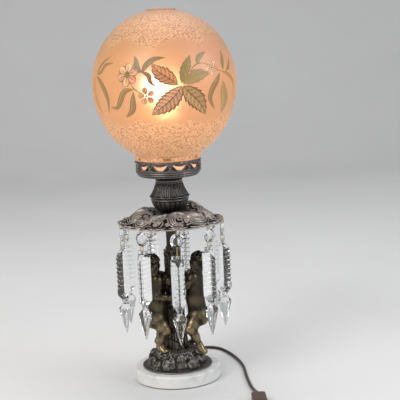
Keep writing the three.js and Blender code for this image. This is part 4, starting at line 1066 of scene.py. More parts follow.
def makeColumn(s):
    z = np.linspace(s["bottom"], s["top"], 150)
    r = np.full(len(z), float(s["radius"]))
    for place, size in s["rings"]:
        middle = s["bottom"] + place if place > 0 else s["top"] + place
        r = np.maximum(r, s["radius"] + (size - s["radius"]) * arch((z - middle) / s["ringHalf"]))
    outline = np.concatenate([[(bore, s["bottom"])], np.stack([r, z], 1), [(bore, s["top"])]])
    return turnedPiece("column_rings", outline, 96)


fitCast(makeColumn(columnShape), "bronze", "bronzed_casting", "column_tube", 0.35, 6)
print("foot, rocks, trunk and column made")


# Canopy: a dome with three high crests and a scalloped rim, foliage hammered up between scrolls, and strands
# laid over it in C and S curves.
canopyShape = {
    "hubRadius": 19, "hubTop": 307, "hubBottom": 303, "crestRadius": 48, "crestDip": 1.2, "rimRadius": 94.8,
    "rimScallop": 1.8, "rimFlat": 10.8, "rimMiddle": 291, "rimThickness": 2.4, "rimDrop": 16, "wall": 3,
    "dipShare": 0.5, "fallShares": (0.55, 0.36), "crestAngles": (45, 165, 285), "crestLift": 9,
    "crestShares": (1.25, 0.75, 0.6), "crestSpread": 60, "prismCount": 9, "prismPhase": 5, "flat": 75,
    "columns": 480, "rows": 108, "leafSize": 8.5,
}


# The crests' height: a soft bump round each crest's angle, times its share of the lift.
def crestHeight(s, angle):
    total = 0.0
    for middle, share in zip(s["crestAngles"], s["crestShares"]):
        away = np.abs((np.degrees(angle) - middle + 180) % 360 - 180)
        total = total + share * softStep(1 - away / s["crestSpread"])
    return total * s["crestLift"]


# The dome's outline over its hub as a smooth curve, from the hub out to the rim's top.
def domeOutline(s):
    hub, crest, top = s["hubRadius"], s["crestRadius"], s["hubTop"]
    rimInner, rimTop = s["rimRadius"] - s["rimFlat"], s["rimMiddle"] + s["rimThickness"] / 2
    out, down = s["fallShares"]
    points = [(bore, top), (hub, top), (hub + (crest - hub) * s["dipShare"], top - s["crestDip"]),
              (crest, top), (crest + (rimInner - crest) * out, top - s["rimDrop"] * down),
              (rimInner, rimTop), (s["rimRadius"] - 1.2, rimTop)]
    return throughPoints(points, 16)


domeCurve = domeOutline(canopyShape)
domeRun = runAlong(domeCurve)
runMax = domeRun[-1]


# A place on the dome from its run out from the bore and its angle, in mm, raised over the skin by lift.
def onDome(s, run, angle, lift=0.0):
    r = np.interp(run, domeRun, domeCurve[:, 0])
    z = np.interp(run, domeRun, domeCurve[:, 1])
    rimInner = s["rimRadius"] - s["rimFlat"]
    inward = softStep((r - s["hubRadius"]) / (s["crestRadius"] - s["hubRadius"]))
    outward = softStep((rimInner - r) / (rimInner - s["crestRadius"]))
    z = z + crestHeight(s, angle) * np.where(r < s["crestRadius"], inward, outward)
    lobes = np.cos(s["prismCount"] * (angle + pi / 2 - np.radians(s["prismPhase"])))
    r = r - s["rimScallop"] * lobes * softStep((r - rimInner) / s["rimFlat"])
    return rings(r, z + lift, angle)


# Scrollwork, three times round. Places are (degrees from the crest, share of the radius to the flat rim),
# arcs and curls are (place, size share, starting direction in degrees, turns), and strands along each band
# are (offset, radius, how high the middle lies). The bands are the frame's; the rest is fine trim: strands, a
# fan of ribs, curls and leaves on the rim.
scrollShape = {
    "inner": 84, "bandHalf": 4,
    "strands": [(-6.9, 1.5, 0.9), (-2.2, 1.75, 1.7), (2.2, 1.75, 1.7), (6.9, 1.5, 0.9)],
    "arcs": [(-41, 0.82, 0.105, 160, 0.72), (-3, 0.78, 0.16, 75, 0.86), (60, 0.82, 0.09, 200, -0.75)],
    "lines": [
        [(14, 0.56), (12.5, 0.7), (17, 0.83), (27, 0.91), (38, 0.9), (45, 0.82)],
        [(-23, 0.58), (-31, 0.67), (-42, 0.68), (-54, 0.63)],
    ],
    "curls": [(-41, 0.83, 0.035, 160, 1.1), (-2, 0.79, 0.06, 40, -1.1), (60, 0.83, 0.03, 200, -1.2),
              (42, 0.74, 0.04, 120, -1.0), (-20, 0.92, 0.035, 180, 1.0), (-57, 0.92, 0.035, 0, -1.0)],
    "fan": (20, 0.84, 6), "rimLeaves": 27,
}


# Places on an arc round a middle, which turns from a direction and ends at close times its size.
def flatArc(degrees, share, size, start, turns, close=1.0, steps=9):
    t = np.linspace(0, 1, steps)
    turn = np.radians(start + 360 * turns * t)
    reach = size * (1 + (close - 1) * t)
    return np.stack([degrees + np.degrees(reach * np.cos(turn) / share), share + reach * np.sin(turn)], 1)


# Flat places in mm: the way round at the flat rim's radius, and the run out from the bore.
def flatPlaces(places):
    places = throughPoints(np.asarray(places, float), 7)
    run = np.interp(places[:, 1] * scrollShape["inner"], domeCurve[:, 0], domeRun)
    return np.stack([np.radians(places[:, 0]) * canopyShape["flat"], run], 1)


# A strand laid along a flat path, offset sideways, thinning at its ends, its middle raised over the skin.
def strand(s, path, offset, radius, raised, sides=6):
    ahead = unit(np.gradient(path, axis=0))
    across = np.stack([-ahead[:, 1], ahead[:, 0]], 1)
    share = np.linspace(0, 1, len(path))
    swell = np.sin(pi * np.clip(share * 0.88 + 0.06, 0, 1)) ** 0.5
    path = path + across * (offset * swell)[:, None]
    angle, run = path[:, 0] / s["flat"], np.clip(path[:, 1], 0, runMax + 0.6)
    middle = onDome(s, run[:, None], angle[:, None], (raised * (0.3 + 0.7 * swell))[:, None])[:, 0]
    return spaceTube(middle, radius * (0.4 + 0.6 * swell), sides, (0, 0, 1))


# Dome skin: the bands stand up in a low arch, ribs follow them on both sides, and between them lie leaf lobes
# with curled veins and sharp creases.
def makeDome(s, paths):
    angles = turnAngles(s["columns"])
    run = np.linspace(0, runMax, s["rows"])[:, None] + 0 * angles
    top = onDome(s, run, angles)
    wave = 1.7 * np.abs(np.cos((13.5 * angles) + 0.7 * np.sin(3 * angles))) - 0.8
    outer = softStep((run - runMax + 5) / 5)
    top = top + (outer * wave)[..., None] * np.stack([np.cos(angles), np.sin(angles), 0.45 + 0 * angles], -1)
    fold = (np.degrees(angles) - s["crestAngles"][0] + 60) % 120 - 60
    # Distance to the nearest band, where the way round is measured at its own run and not at the flat rim.
    reach = np.maximum(run, 30)
    away = np.full(run.shape, 99.0)
    for round_, out in np.concatenate(paths):
        for wrap in (-120, 0, 120):
            middle = (round_ / s["flat"] + np.radians(wrap)) * max(out, 30)
            away = np.minimum(away, np.hypot(np.radians(fold) * reach - middle, run - out))
    band = arch(away / (scrollShape["bandHalf"] + 0.8))
    ringPlace = rings(run + 20, 0 * run, angles)
    swirl = softNoise(ringPlace, 18, 41, 2)
    near, second, _ = strewn(ringPlace + 5 * swirl[..., None], s["leafSize"], 43)
    far = softStep((away - 9) / 4)
    body = softStep((run - 20) / 8) * softStep((runMax - 3.5 - run) / 5)
    follow = np.cos(2 * pi * (away + 1.2 * swirl - 6.6) / 5.2) * softStep((away - 3.4) / 1.6)
    leaves = 1.1 * (0.75 - near ** 1.4) + 0.55 * np.cos(near * 13 + 5 * swirl)
    leaves = leaves - 1.3 * bell(second - near, 0.12)
    lift = body * (1.1 * band - 0.5 + (1 - far) * 1.15 * follow + far * 1.3 * leaves)
    lift += body * 0.18 * softNoise(ringPlace, 3.0, 47)
    top = top + upwardNormals(top) * lift[..., None]
    edge = onDome(s, runMax, angles)
    radius = np.hypot(edge[..., 0], edge[..., 1])
    sideRows = [rings(radius + wave + out, s["rimMiddle"] + up + 0.35 * wave, angles)
                for out, up in ((0.9, 0.8), (1.3, 0.2), (1.2, -0.6), (0.7, -1.2))]
    underRun = np.linspace(runMax - s["rimFlat"] - 1, 0, 12)[:, None]
    wall = np.where(underRun < s["hubRadius"], s["hubTop"] - s["hubBottom"], s["wall"])
    under = onDome(s, underRun, angles, -wall)
    inner = onDome(s, runMax - s["rimFlat"], angles)
    inner[..., 2] = s["rimMiddle"] - s["rimThickness"] / 2
    return np.concatenate([top] + sideRows + [inner, under])


# Every strand of one repeat: its flat path, its offset, its radius and how high its middle lies.
def strandsOfUnit(paths):
    shape = scrollShape
    made = []
    for path in paths:
        made += [(path, *each) for each in shape["strands"]]
    for curl in shape["curls"]:
        made.append((flatPlaces(flatArc(*curl, close=0.35)), 0, 1.5, 1.4))
    degrees, share, count = shape["fan"]
    for i in range(count):
        foot = (degrees + 4.4 * i, share + 0.012 * i)
        tip = (degrees - 5 + 5.4 * i, share - 0.30 - 0.018 * i * (count - i))
        middle = ((foot[0] + tip[0]) / 2 - 4.5, (foot[1] + tip[1]) / 2)
        made.append((flatPlaces([foot, middle, tip]), 0, 1.5, 1.1))
    count = shape["rimLeaves"] // 3
    for i in range(count):
        middle = -60 + (i + 0.5) * 120 / count
        lean = 4.5 if i % 2 else -4.5
        made.append((flatPlaces([(middle - lean, 0.99), (middle - lean * 0.2, 1.06), (middle + lean, 1.085),
                                 (middle + lean * 1.6, 1.01)]), 0, 1.4, 0.9))
    return made


def makeCanopy(s):
    places = scrollShape["lines"] + [flatArc(*arc) for arc in scrollShape["arcs"]]
    paths = [flatPlaces(each) for each in places]
    items = [(makeDome(s, paths), True, True)]
    for middle in s["crestAngles"]:
        turn = np.array([np.radians(middle) * s["flat"], 0])
        for path, offset, radius, raised in strandsOfUnit(paths):
            items.append((strand(s, path + turn, offset, radius, raised), False, True))
    points, faceSets = joinGrids(items)
    return makePiece("canopy_scrolls", points * mm, faceSets, closed=False)


canopyScrolls = makeCanopy(canopyShape)
fitCast(canopyScrolls, "scrolls", "rubbed_casting", "canopy", 0.8, 60, 0.42)
print("canopy made:", len(canopyScrolls.data.polygons), "faces")


# A smooth outline through points given as shares of the way from one radius to another and of a height.
def shareCurve(shares, narrow, wide, foot, height, samples):
    points = [(narrow + (wide - narrow) * out, foot + height * up) for out, up in shares]
    return throughPoints(points, samples)


# Vase: a gadrooned bowl and a shoulder of overlapping leaves.
vaseShape = {
    "bowlFoot": 17, "bowlRadius": 33.6, "bowlBottom": 307.3, "bowlHeight": 25.5, "wall": 2.6, "gadroons": 22,
    "bowlShares": [(0, 0), (0.3, 0.16), (0.7, 0.45), (0.93, 0.75), (1, 1)],
    "shoulderBottom": 333.1, "ridge": 4.2, "shoulderHeight": 31, "shoulderRadius": 35, "neck": 23.6,
    "shoulderShares": [(1, 0), (0.7, 0.22), (0.36, 0.5), (0.12, 0.8), (0, 1)], "leaves": 14,
}


def makeBowl(s):
    low, foot, wall = s["bowlBottom"], s["bowlFoot"], s["wall"]
    curve = shareCurve(s["bowlShares"], foot, s["bowlRadius"], low, s["bowlHeight"], 16)
    inside = curve[::-4] - (wall, 0)
    inside = inside[inside[:, 1] > low + wall]
    floor = [(foot - 2, low + wall), (bore, low + wall)]
    line = np.concatenate([[(bore, low)], evenly(curve, 0.55), inside, floor])

    def gadroon(r, z, angle):
        up = (z - low) / s["bowlHeight"]
        outside = softStep((r - np.interp(z, curve[:, 1], curve[:, 0]) + 1) / 0.9)
        body = softStep((up - 0.03) / 0.12) * softStep((0.90 - up) / 0.10)
        lobes = np.abs(np.cos(angle * s["gadroons"] / 2)) ** 0.7
        lip = 0.9 * bell(up - 0.965, 0.03)
        return r + outside * (body * 1.15 * (lobes - 0.75) + lip), z

    return turnedPiece("gadrooned_bowl", line, 352, True, gadroon)


def makeShoulder(s):
    base, ridge, height, wall = s["shoulderBottom"], s["ridge"], s["shoulderHeight"], s["wall"]
    curve = shareCurve(s["shoulderShares"], s["neck"], s["shoulderRadius"], base + ridge, height - ridge, 16)
    outside = evenly(np.concatenate([[(s["bowlRadius"], base)], curve]), 0.5)
    line = np.concatenate([[(s["bowlRadius"] - wall, base)], outside, [(bore, base + height)],
                           [(bore, base + height - wall)], curve[::-6] - (wall, wall)])

    # Reeds run up from the ridge to the neck between long leaves that lie over them.
    def leaf(r, z, angle):
        up = (z - base - ridge) / (height - ridge)
        skin = softStep((r - np.interp(z, outside[:, 1], outside[:, 0]) + 1) / 0.9)
        body = softStep((up + 0.03) / 0.05) * softStep((0.99 - up) / 0.05)
        reeds = 0.8 * np.abs(np.cos(angle * s["leaves"] * 2)) ** 0.8
        turn = (angle * s["leaves"] / (2 * pi)) % 1 - 0.5
        along = np.clip((up + 0.02) / 0.78, 0, 1)
        halfWidth = 0.40 * np.sin(pi * (0.12 + 0.86 * along)) ** 0.6
        inLeaf = softStep((halfWidth - np.abs(turn)) / 0.05) * (along < 0.999)
        veins = 0.5 + 0.5 * np.cos(2 * pi * (np.abs(turn) * 8 + along * 4))
        shape = 1.25 * (1 - (turn / 0.5) ** 2) + 0.5 * bell(turn, 0.04) + 0.35 * veins
        edge = 1.2 * bell(up + 0.01, 0.04) * (1 + 0.35 * np.cos(angle * s["leaves"]))
        collar = 0.9 * bell(up - 0.93, 0.03)
        return r + skin * (body * (np.maximum(reeds, inLeaf * shape) - 0.9) + edge + collar), z

    return turnedPiece("leafy_shoulder", line, 480, True, leaf)


fitCast(makeBowl(vaseShape), "vase", "bronzed_casting", "vase_bowl", 0.3, 6)
fitCast(makeShoulder(vaseShape), "vase", "bronzed_casting", "vase_shoulder", 0.3, 6)


# Gallery dish: a flared bowl under three stepped mouldings, each (drop from the top, setback, half height).
dishShape = {
    "neck": 23.6, "radius": 59, "bottom": 364.4, "height": 20.6, "wall": 2.6, "inner": 50.9, "floor": 4,
    "mouldings": [(8.6, 5.6, 1.5), (5.3, 2.4, 1.7), (1.7, 0.4, 1.6)],
    "shares": [(0, 0), (0.04, 0.2), (0.24, 0.4), (0.55, 0.56), (0.76, 0.66)],
}


def makeDish(s):
    foot, top, wall = s["bottom"], s["bottom"] + s["height"], s["wall"]
    curve = shareCurve(s["shares"], s["neck"], s["radius"], foot, s["height"], 10)
    curve = curve[curve[:, 1] < top - 10.6]
    steps = []
    a = np.linspace(-pi / 2, pi / 2, 11)
    for drop, setback, half in s["mouldings"]:
        middle, r = top - drop, s["radius"] - setback
        steps += [(r - 2.4, middle - half)] + list(zip(r - 1.5 + 1.7 * np.cos(a), middle + half * np.sin(a)))
        steps += [(r - 1.6, middle + half)]
    steps += [(s["radius"] - 1.4, top), (s["inner"], top)]
    floor = [(s["neck"] - wall, foot + s["floor"]), (bore, foot + s["floor"])]
    outline = np.concatenate([[(bore, foot)], curve, steps, curve[::-6][:4] + (-wall, wall), floor])
    return turnedPiece("moulded_dish", outline, 240)


fitCast(makeDish(dishShape), "vase", "bronzed_casting", "gallery_dish", 0.3, 5)


# A half round boss on the crown: rings of a quarter circle that grow from its top, squashed to half its
# width, half its height and its depth.
def boss(angle, reach, height, sizes, rows=8, steps=20):
    outward, around = directions(angle)
    rise = np.linspace(0.02, 1, rows)[:, None] * pi / 2
    dome = rings(np.sin(rise), np.cos(rise), turnAngles(steps)) * sizes
    return outward * reach + upright * height + dome @ np.array([around, upright, outward])


# Gallery crown: a ring with ten crescent windows in raised frames, leaf bosses between them, and bead rows.
# Crests over each window are (place out, sizes), and a sprig's leaves are (lean in radians, height, sizes).
crownShape = {
    "radius": 57.5, "inner": 53.5, "bottom": 385.3, "height": 18.4, "windows": 10, "first": 255, "width": 27,
    "depth": 10.5, "horn": 5.5, "rise": 4.2, "beads": 72,
    "crests": [(-0.4, (6.2, 2.3, 1.7)), (-0.2, (2.0, 1.8, 2.6))],
    "sprig": [(0, 7.5, (2.4, 3.2, 3.4)), (-0.045, 11.3, (1.9, 2.9, 2.7)), (0.045, 11.3, (1.9, 2.9, 2.7)),
              (0, 14.2, (2.1, 2.5, 3.2)), (-0.035, 4.0, (2.3, 1.9, 2.2)), (0.035, 4.0, (2.3, 1.9, 2.2))],
}


# A crescent's outline as (sideways, height) pairs: two parabolas that meet at the horns.
def crescentLine(s, grow=0.0, steps=13):
    half, depth, horn = s["width"] / 2 + grow, s["depth"], s["horn"]
    t = np.linspace(-1, 1, steps)
    lower = np.stack([t * half, depth * t ** 2 - grow * (1 - t ** 4)], 1)
    t = t[::-1][1:-1]
    upper = np.stack([t * half, horn + (depth - horn) * t ** 2 + grow * (1 - t ** 4)], 1)
    return np.concatenate([lower, upper]) + (0, s["bottom"] + s["rise"])


def makeCrown(s):
    low, top, radius = s["bottom"], s["bottom"] + s["height"], s["radius"]
    line = rounded([(s["inner"], low), (radius, low), (radius, top), (s["inner"], top)], 0.6, 1.1)
    ring = turnedPiece("crown_ring", line, 360)
    middles = np.radians(s["first"] + np.arange(s["windows"]) * 360 / s["windows"])
    line = crescentLine(s, 0.6)
    frameLine = evenly(crescentLine(s, 1.1, 21), 0.9, True)
    holes, items, bosses = [], [], []
    for middle in middles:
        outward, around = directions(middle)
        walls = [outward * reach + around * line[:, :1] + upright * line[:, 1:] for reach in (40, 70)]
        holes.append((np.stack(walls), False, True))
        outward = rings(1, 0, middle + frameLine[:, 0] / radius)
        path = outward * (radius + 0.2) + upright * frameLine[:, 1:]
        items.append((closedTube(path, outward, 0.6), True, True))
        bosses += [(middle, radius + out, top - 2.6, sizes) for out, sizes in s["crests"]]
        between = middle + pi / s["windows"]
        bosses += [(between + lean, radius - 0.3, low + up, sizes) for lean, up, sizes in s["sprig"]]
    for angle in turnAngles(s["beads"])[0]:
        bosses.append((angle, radius, top - 0.9, (1.1, 0.9, 1.0), 4, 8))
        bosses.append((angle, radius, low + 0.9, (1.5, 0.9, 0.9), 4, 8))
    points, faceSets = joinGrids(holes)
    carve(ring, makePiece("windows", points * mm, faceSets, False, False))
    points, faceSets = joinGrids(items + [(boss(*each), False, True) for each in bosses])
    return ring, makePiece("crown_trim", points * mm, faceSets, closed=False)


for crownPart in makeCrown(crownShape):
    fitCast(crownPart, "vase", "bronzed_casting", "gallery_crown", 0.3, 5)
print("vase, dish and crown made")


# Globe: a blown shell, a little fuller below its widest circle, open at the top in a short collar, and below
# it a rolled lip over a straight neck that stands inside the crown.
globeShape = {
    "centre": 538.52, "radius": 127.5, "upper": 129, "lower": 140, "wall": 3.5, "footAngle": 63.94,
    "collarRadius": 25.8, "collarTop": 667.85, "lip": (404, 411.5), "lipRadius": 59, "neckRadius": 51.5,
    "neckFoot": 389, "columns": 288, "glow": 0.27,
}


def globeLine(s):
    radius, centre, wall = s["radius"], s["centre"], s["wall"]
    opening = np.degrees(np.arccos(s["collarRadius"] / radius))
    a = np.radians(np.linspace(-s["footAngle"], opening, 130))
    rise = np.where(a < 0, s["lower"], s["upper"])
    outside = np.stack([radius * np.cos(a), centre + rise * np.sin(a)], 1)
    inside = np.stack([(radius - wall) * np.cos(a), centre + (rise - wall) * np.sin(a)], 1)[::-3]
    low, high = s["lip"]
    neck, foot, lip = s["neckRadius"], s["neckFoot"], s["lipRadius"]
    line = [(neck - wall, high), (neck - wall, foot), (neck, foot), (neck, low), (lip, low), (lip, high),
            (outside[0][0] + 1, high + 0.3)]
    line = rounded(line, [0.4, 1.2, 1.2, 0.5, 2.2, 2.2, 0.8], 0.7, False)
    collar, top = s["collarRadius"], s["collarTop"]
    end = [outside[-1], (collar, top), (collar - wall, top), inside[0]]
    return np.concatenate([line[:-1], outside, rounded(end, [0, 1.4, 1.4, 0], 0.6, False)[1:-1], inside])


def makeGlobe(s):
    globe = turnedPiece("painted_globe", globeLine(s), s["columns"])
    p = readPoints(globe.data) / mm
    angle = np.arctan2(p[:, 0], -p[:, 1])
    up = p[:, 2] - s["centre"]
    reach = np.hypot(p[:, 0], p[:, 1])
    outer = (reach / s["radius"]) ** 2 + (up / np.where(up < 0, s["lower"], s["upper"])) ** 2 > 0.96
    high = 60 + 9 * np.abs(np.sin(4 * angle + 0.6)) + 3 * np.sin(7 * angle)
    low = -50 - 8 * np.abs(np.cos(4.5 * angle)) - 2 * np.sin(5 * angle)
    chipped = softStep((up - high) / 12) * softStep((122 - up) / 5)
    chipped = chipped + softStep((low - up) / 12) * softStep((up + 133) / 2)
    storeValue(globe, "chipped", chipped * outer)
    blush = 0.75 * bell(angle - 0.75, 0.6) * bell(up - 60, 60) + 0.6 * bell(up - 112, 22)
    neck = (p[:, 2] < s["lip"][0] + 0.5) | (reach < s["neckRadius"] - s["wall"] + 0.4) & (up < -100)
    blush = np.maximum(blush, 1.6 * bell(angle + 0.52, 0.2) * bell(up + 129, 3))
    storeValue(globe, "blush", np.where(neck & (angle < -0.9) | neck & (angle > -0.2), 1.0, blush))
    dabs = sum(bell(angle - spot, 0.028) for spot in (-1.03, -0.97, -0.09, -0.01, 0.05, 0.97, 1.04))
    storeValue(globe, "dabs", np.clip(1.3 * dabs * bell(up + 129.5, 2.2) * outer, 0, 1))
    # Painted light: glow painted weaker at the top, a painted hot spot on the front, and a bright glowing
    # neck.
    shade = 1 - 0.85 * softStep((up - 5) / 90) + 0.10 * softStep((-up - 20) / 90)
    lit = s["glow"] * shade * (1 + 0.25 * bell(np.hypot(angle + 0.12, up / 128), 0.5))
    paintedHotSpot = 1.5 * bell(np.hypot((angle + 0.13) / 0.17, (up - 2) / 22), 1.0) * outer
    storeValue(globe, "paintedHotSpot", np.clip(paintedHotSpot, 0, 1))
    foot = np.where(p[:, 2] < s["lip"][0] - 0.5, 1.1, 0.12)
    storeValue(globe, "glow", np.where(neck, foot, lit + 1.1 * paintedHotSpot))
    return globe


paintedGlobe = makeGlobe(globeShape)
fit(paintedGlobe, "globe", "frosted_globe", "globe", body="globe")


# Enamel: leaves, petals and stems as thin patches on the globe. Places are (angle from the front in degrees,
# height over the globe's middle in mm), sizes are in mm.

# The point on the globe's skin along the same ray from its middle, raised by lift.
def onGlobe(s, points, lift):
    q = points - upright * s["centre"]
    rise = np.where(q[..., 2] < 0, s["lower"], s["upper"])
    sizes = np.stack([s["radius"] + 0 * rise, s["radius"] + 0 * rise, rise], -1)
    return unit(q / sizes) * (sizes + lift) + upright * s["centre"]


# The point on the globe's skin at a place or at each of several.
def globePlace(s, spot):
    spot = np.asarray(spot, float)
    angle, up = np.radians(spot[..., 0]), spot[..., 1]
    rise = np.where(up < 0, s["lower"], s["upper"])
    return rings(s["radius"] * arch(up / rise), s["centre"] + up, angle - pi / 2)


acrossShares = np.array([-1, -0.80, -0.76, -0.4, -0.085, -0.06, 0, 0.06, 0.085, 0.4, 0.76, 0.80, 1])
paints = {
    "brown": (0.16, 0.055, 0.018), "green": (0.175, 0.125, 0.036), "olive": (0.26, 0.18, 0.06),
    "tan": (0.44, 0.27, 0.10), "salmon": (0.56, 0.22, 0.095), "rose": (0.66, 0.28, 0.15),
    "blond": (0.74, 0.42, 0.19), "pale": (0.80, 0.52, 0.30), "russet": (0.25, 0.08, 0.028),
    "khaki": (0.32, 0.195, 0.068), "amber": (0.52, 0.26, 0.07), "pink": (0.62, 0.31, 0.17),
}


# A patch along a spine: half widths follow the given shape, with teeth cut into the edges, an outline, a
# midrib and slanted veins in the second colour. Its order lifts it over the patches under it.
def patch(s, spine, width, fill, line, shape=0.8, teeth=0, veins=0, blunt=False, order=0):
    spots = throughPoints(spine, 24)
    path = evenly(globePlace(s, spots), 0.55 if teeth or veins else 0.9)
    count = len(path)
    t = np.linspace(0, 1, count)
    if blunt:
        half = np.sin(pi * np.clip(0.08 + 0.9 * t, 0, 1) ** 1.35) ** 0.62
    else:
        half = np.sin(pi * t ** shape) ** 0.9 * (1 - 0.15 * t)
    if teeth:
        saw = (t * teeth) % 1
        half = half * (1 - 0.22 * (1 - saw) * np.clip(4 * t, 0, 1)) + 0.02
    half = np.maximum(half, 0.02 if width > 2 else 0.6)
    outward = unit(path - (0, 0, s["centre"]))
    ahead = unit(np.gradient(path, axis=0))
    across = np.cross(outward, ahead)
    reach = (half * width / 2)[:, None] * acrossShares[None, :]
    slant = -np.abs(reach) * (0.35 if teeth else 0.0)
    flat = path[:, None] + across[:, None] * reach[..., None] - ahead[:, None] * slant[..., None] * 0.5
    grid = onGlobe(s, flat, 0.22 + 0.05 * order)
    tint = np.broadcast_to(np.array(paints[fill]), grid.shape).copy()
    shadeSide = np.where(acrossShares > 0, 0.86, 1.08)[None, :, None]
    tint = tint * shadeSide
    if veins:
        waves = np.cos(2 * pi * (t[:, None] * veins - np.abs(acrossShares)[None, :] * 0.9))
        inside = (np.abs(acrossShares) < 0.78)[None, :]
        tint = np.where(((waves > 0.72) & inside)[..., None], np.array(paints[line]) * 1.15, tint)
    edge = (np.abs(acrossShares) > 0.78) | (np.abs(acrossShares) < 0.07) & (width > 3) & (not blunt)
    ends = (t < 0.02) | (t > 0.985)
    tint = np.where((edge[None, :] | ends[:, None])[..., None], np.array(paints[line]), tint)
    return grid, tint


# A flower: blunt petals with ribs round a spot, and a round eye. Petals start a little way out from the
# middle.
def flower(s, spot, reach, petals, width, fills, line, eye, eyeRadius, turn=0.0, gap=0.22):
    centre = globePlace(s, spot)
    outward = unit(centre - (0, 0, s["centre"]))
    side = unit(np.cross([0, 0, 1.0], outward))
    up = np.cross(outward, side)
    made = []

    def spotOf(point):
        p = onGlobe(s, point, 0.0)
        return (np.degrees(np.arctan2(p[0], -p[1])), p[2] - s["centre"])
    for i in range(petals):
        a = turn + 2 * pi * i / petals
        ray = side * np.cos(a) + up * np.sin(a)
        spine = [spotOf(centre + ray * reach * share) for share in (gap, 0.62, 1.0)]
        made.append(patch(s, spine, width, fills[i % len(fills)], line, blunt=True))
        rib = [spotOf(centre + ray * reach * share) for share in (gap, 0.45, 0.68)]
        made.append(patch(s, rib, 1.3, line, line, order=1))
    if eyeRadius:
        left, right = spotOf(centre - side * eyeRadius), spotOf(centre + side * eyeRadius)
        made.append(patch(s, [left, spotOf(centre), right], eyeRadius * 2.2, eye, line, blunt=True, order=2))
    return made


# One spray, as it winds from left to right round the front; the same spray is painted again on the back. Each
# stroke is (spine, width, fill, line) and, where they differ from plain, (shape, teeth, veins).
strokes = [
    ([(-65, 22), (-61, 35), (-54, 47), (-47, 53)], 6, "khaki", "brown"),
    ([(-64, 22), (-58, 27), (-53, 38), (-43, 42)], 7.5, "khaki", "brown"),
    ([(-69, 20), (-71, -5), (-68, -28), (-62, -47)], 17, "salmon", "amber", 0.8, 0, 5),
    ([(-65, 20), (-56, 5), (-50, -18), (-52, -45)], 11, "khaki", "brown"),
    ([(-17, 25), (-21, 33), (-22, 43), (-24, 53)], 11.5, "green", "brown"),
    ([(-17, 24), (-13, 38), (-7, 46), (2, 48)], 11, "green", "brown"),
    ([(-17, 26), (-12, 20), (-10, 8), (-6, 1)], 8.5, "russet", "brown"),
    ([(-21, 23), (-18, 26), (-15, 28)], 1.6, "brown", "brown"),
    ([(-26, 6), (-23, -2), (-19, -8), (-16, -11)], 1.7, "brown", "brown"),
    ([(-23, -2), (-31, -5), (-36, -20), (-41, -33), (-48, -33)], 11, "khaki", "brown", 0.95),
    ([(-24, -5), (-25, -20), (-27, -38), (-34, -50)], 12, "khaki", "brown", 1.0),
    ([(10, 3), (3, 15), (-4, 25), (-9, 39)], 31, "salmon", "brown", 0.9, 6, 7),
    ([(13, 5), (15, 20), (18, 34), (22, 50)], 19, "olive", "green", 0.9, 6, 6),
    ([(14, 4), (21, 12), (27, 17), (37, 18)], 25, "khaki", "olive", 0.9, 4, 0.8, 0, 5),
    ([(13, 0), (8, -14), (1, -28), (-11, -46)], 36, "pink", "brown", 0.85, 8, 9),
    ([(14, 0), (19, -12), (26, -26), (34, -50)], 36, "tan", "brown", 0.8, 7, 7),
    ([(20, 22), (25, 33), (31, 36), (37, 32)], 1.8, "green", "green"),
    ([(27, 34), (29, 44), (33, 50), (38, 54)], 10, "olive", "green"),
    ([(43, 25), (47, 22), (50, 20)], 1.6, "brown", "brown"),
    ([(48, 18), (44, 5), (39, -8), (37, -24), (43, -44)], 12, "khaki", "brown"),
    ([(51, 4), (52, -14), (54, -32), (52, -52)], 24, "tan", "khaki", 0.9, 7, 7),
    ([(50, 20), (59, 14), (67, 0), (69, -26)], 7, "amber", "brown"),
    ([(53, 22), (54, 34), (56, 44), (58, 56)], 9, "olive", "green"),
    ([(57, 20), (62, 26), (65, 34), (67, 42)], 7, "khaki", "brown"),
]
# A bloom is (spot, reach, petals, width, fills, line, eye, eye radius, turn).
blooms = [
    ((-29, 22), 20, 6, 14.5, ("rose", "blond", "blond", "pink", "blond", "rose"), "brown", "green", 5.2,
     0.35),
    ((-14, -14), 15, 5, 9.5, ("pink", "salmon", "pink"), "russet", "russet", 1.6, 0.5),
    ((40, 28), 14.5, 5, 8.5, ("pale", "blond", "pale"), "russet", "brown", 1.6, 0.9),
]


def spray(s, shift):
    made = [patch(s, np.array(spine) + (shift, 0), *rest) for spine, *rest in strokes]
    for (angle, up), *rest in blooms:
        made += flower(s, (angle + shift, up), *rest)
    return made


def makeEnamel(s):
    patches = spray(s, 0) + spray(s, 180)
    points, faceSets = joinGrids([(grid, False, False) for grid, _ in patches])
    tint = np.concatenate([tint.reshape(-1, 3) for _, tint in patches])
    enamel = makePiece("painted_sprays", points * mm, faceSets, closed=False)
    normals = readPoints(enamel.data, "normal")
    outward = unit(points - (0, 0, s["centre"]))
    if (normals * outward).sum() < 0:
        enamel.data.flip_normals()
    layer = enamel.data.attributes.new("tint", "FLOAT_COLOR", "POINT")
    colours = np.concatenate([tint, np.ones((len(tint), 1))], 1)
    layer.data.foreach_set("color", colours.astype(np.float32).ravel())
    storeValue(enamel, "glow", np.full(len(points), s["glow"] * 0.85))
    return enamel


enamel = makeEnamel(globeShape)
fit(enamel, "enamel", "frosted_globe", "globe", body="globe")
print("globe and enamel made:", len(enamel.data.polygons), "faces of enamel")


# Socket and bulb
lightShape = {
    "socketFoot": 8, "socketRadius": 17, "socket": (416, 478), "bore": 14.3, "floor": 447,
    "bulbFoot": 447.6, "bulbNeck": 13, "bulbRadius": 30, "bulbMiddle": 525.6,
}


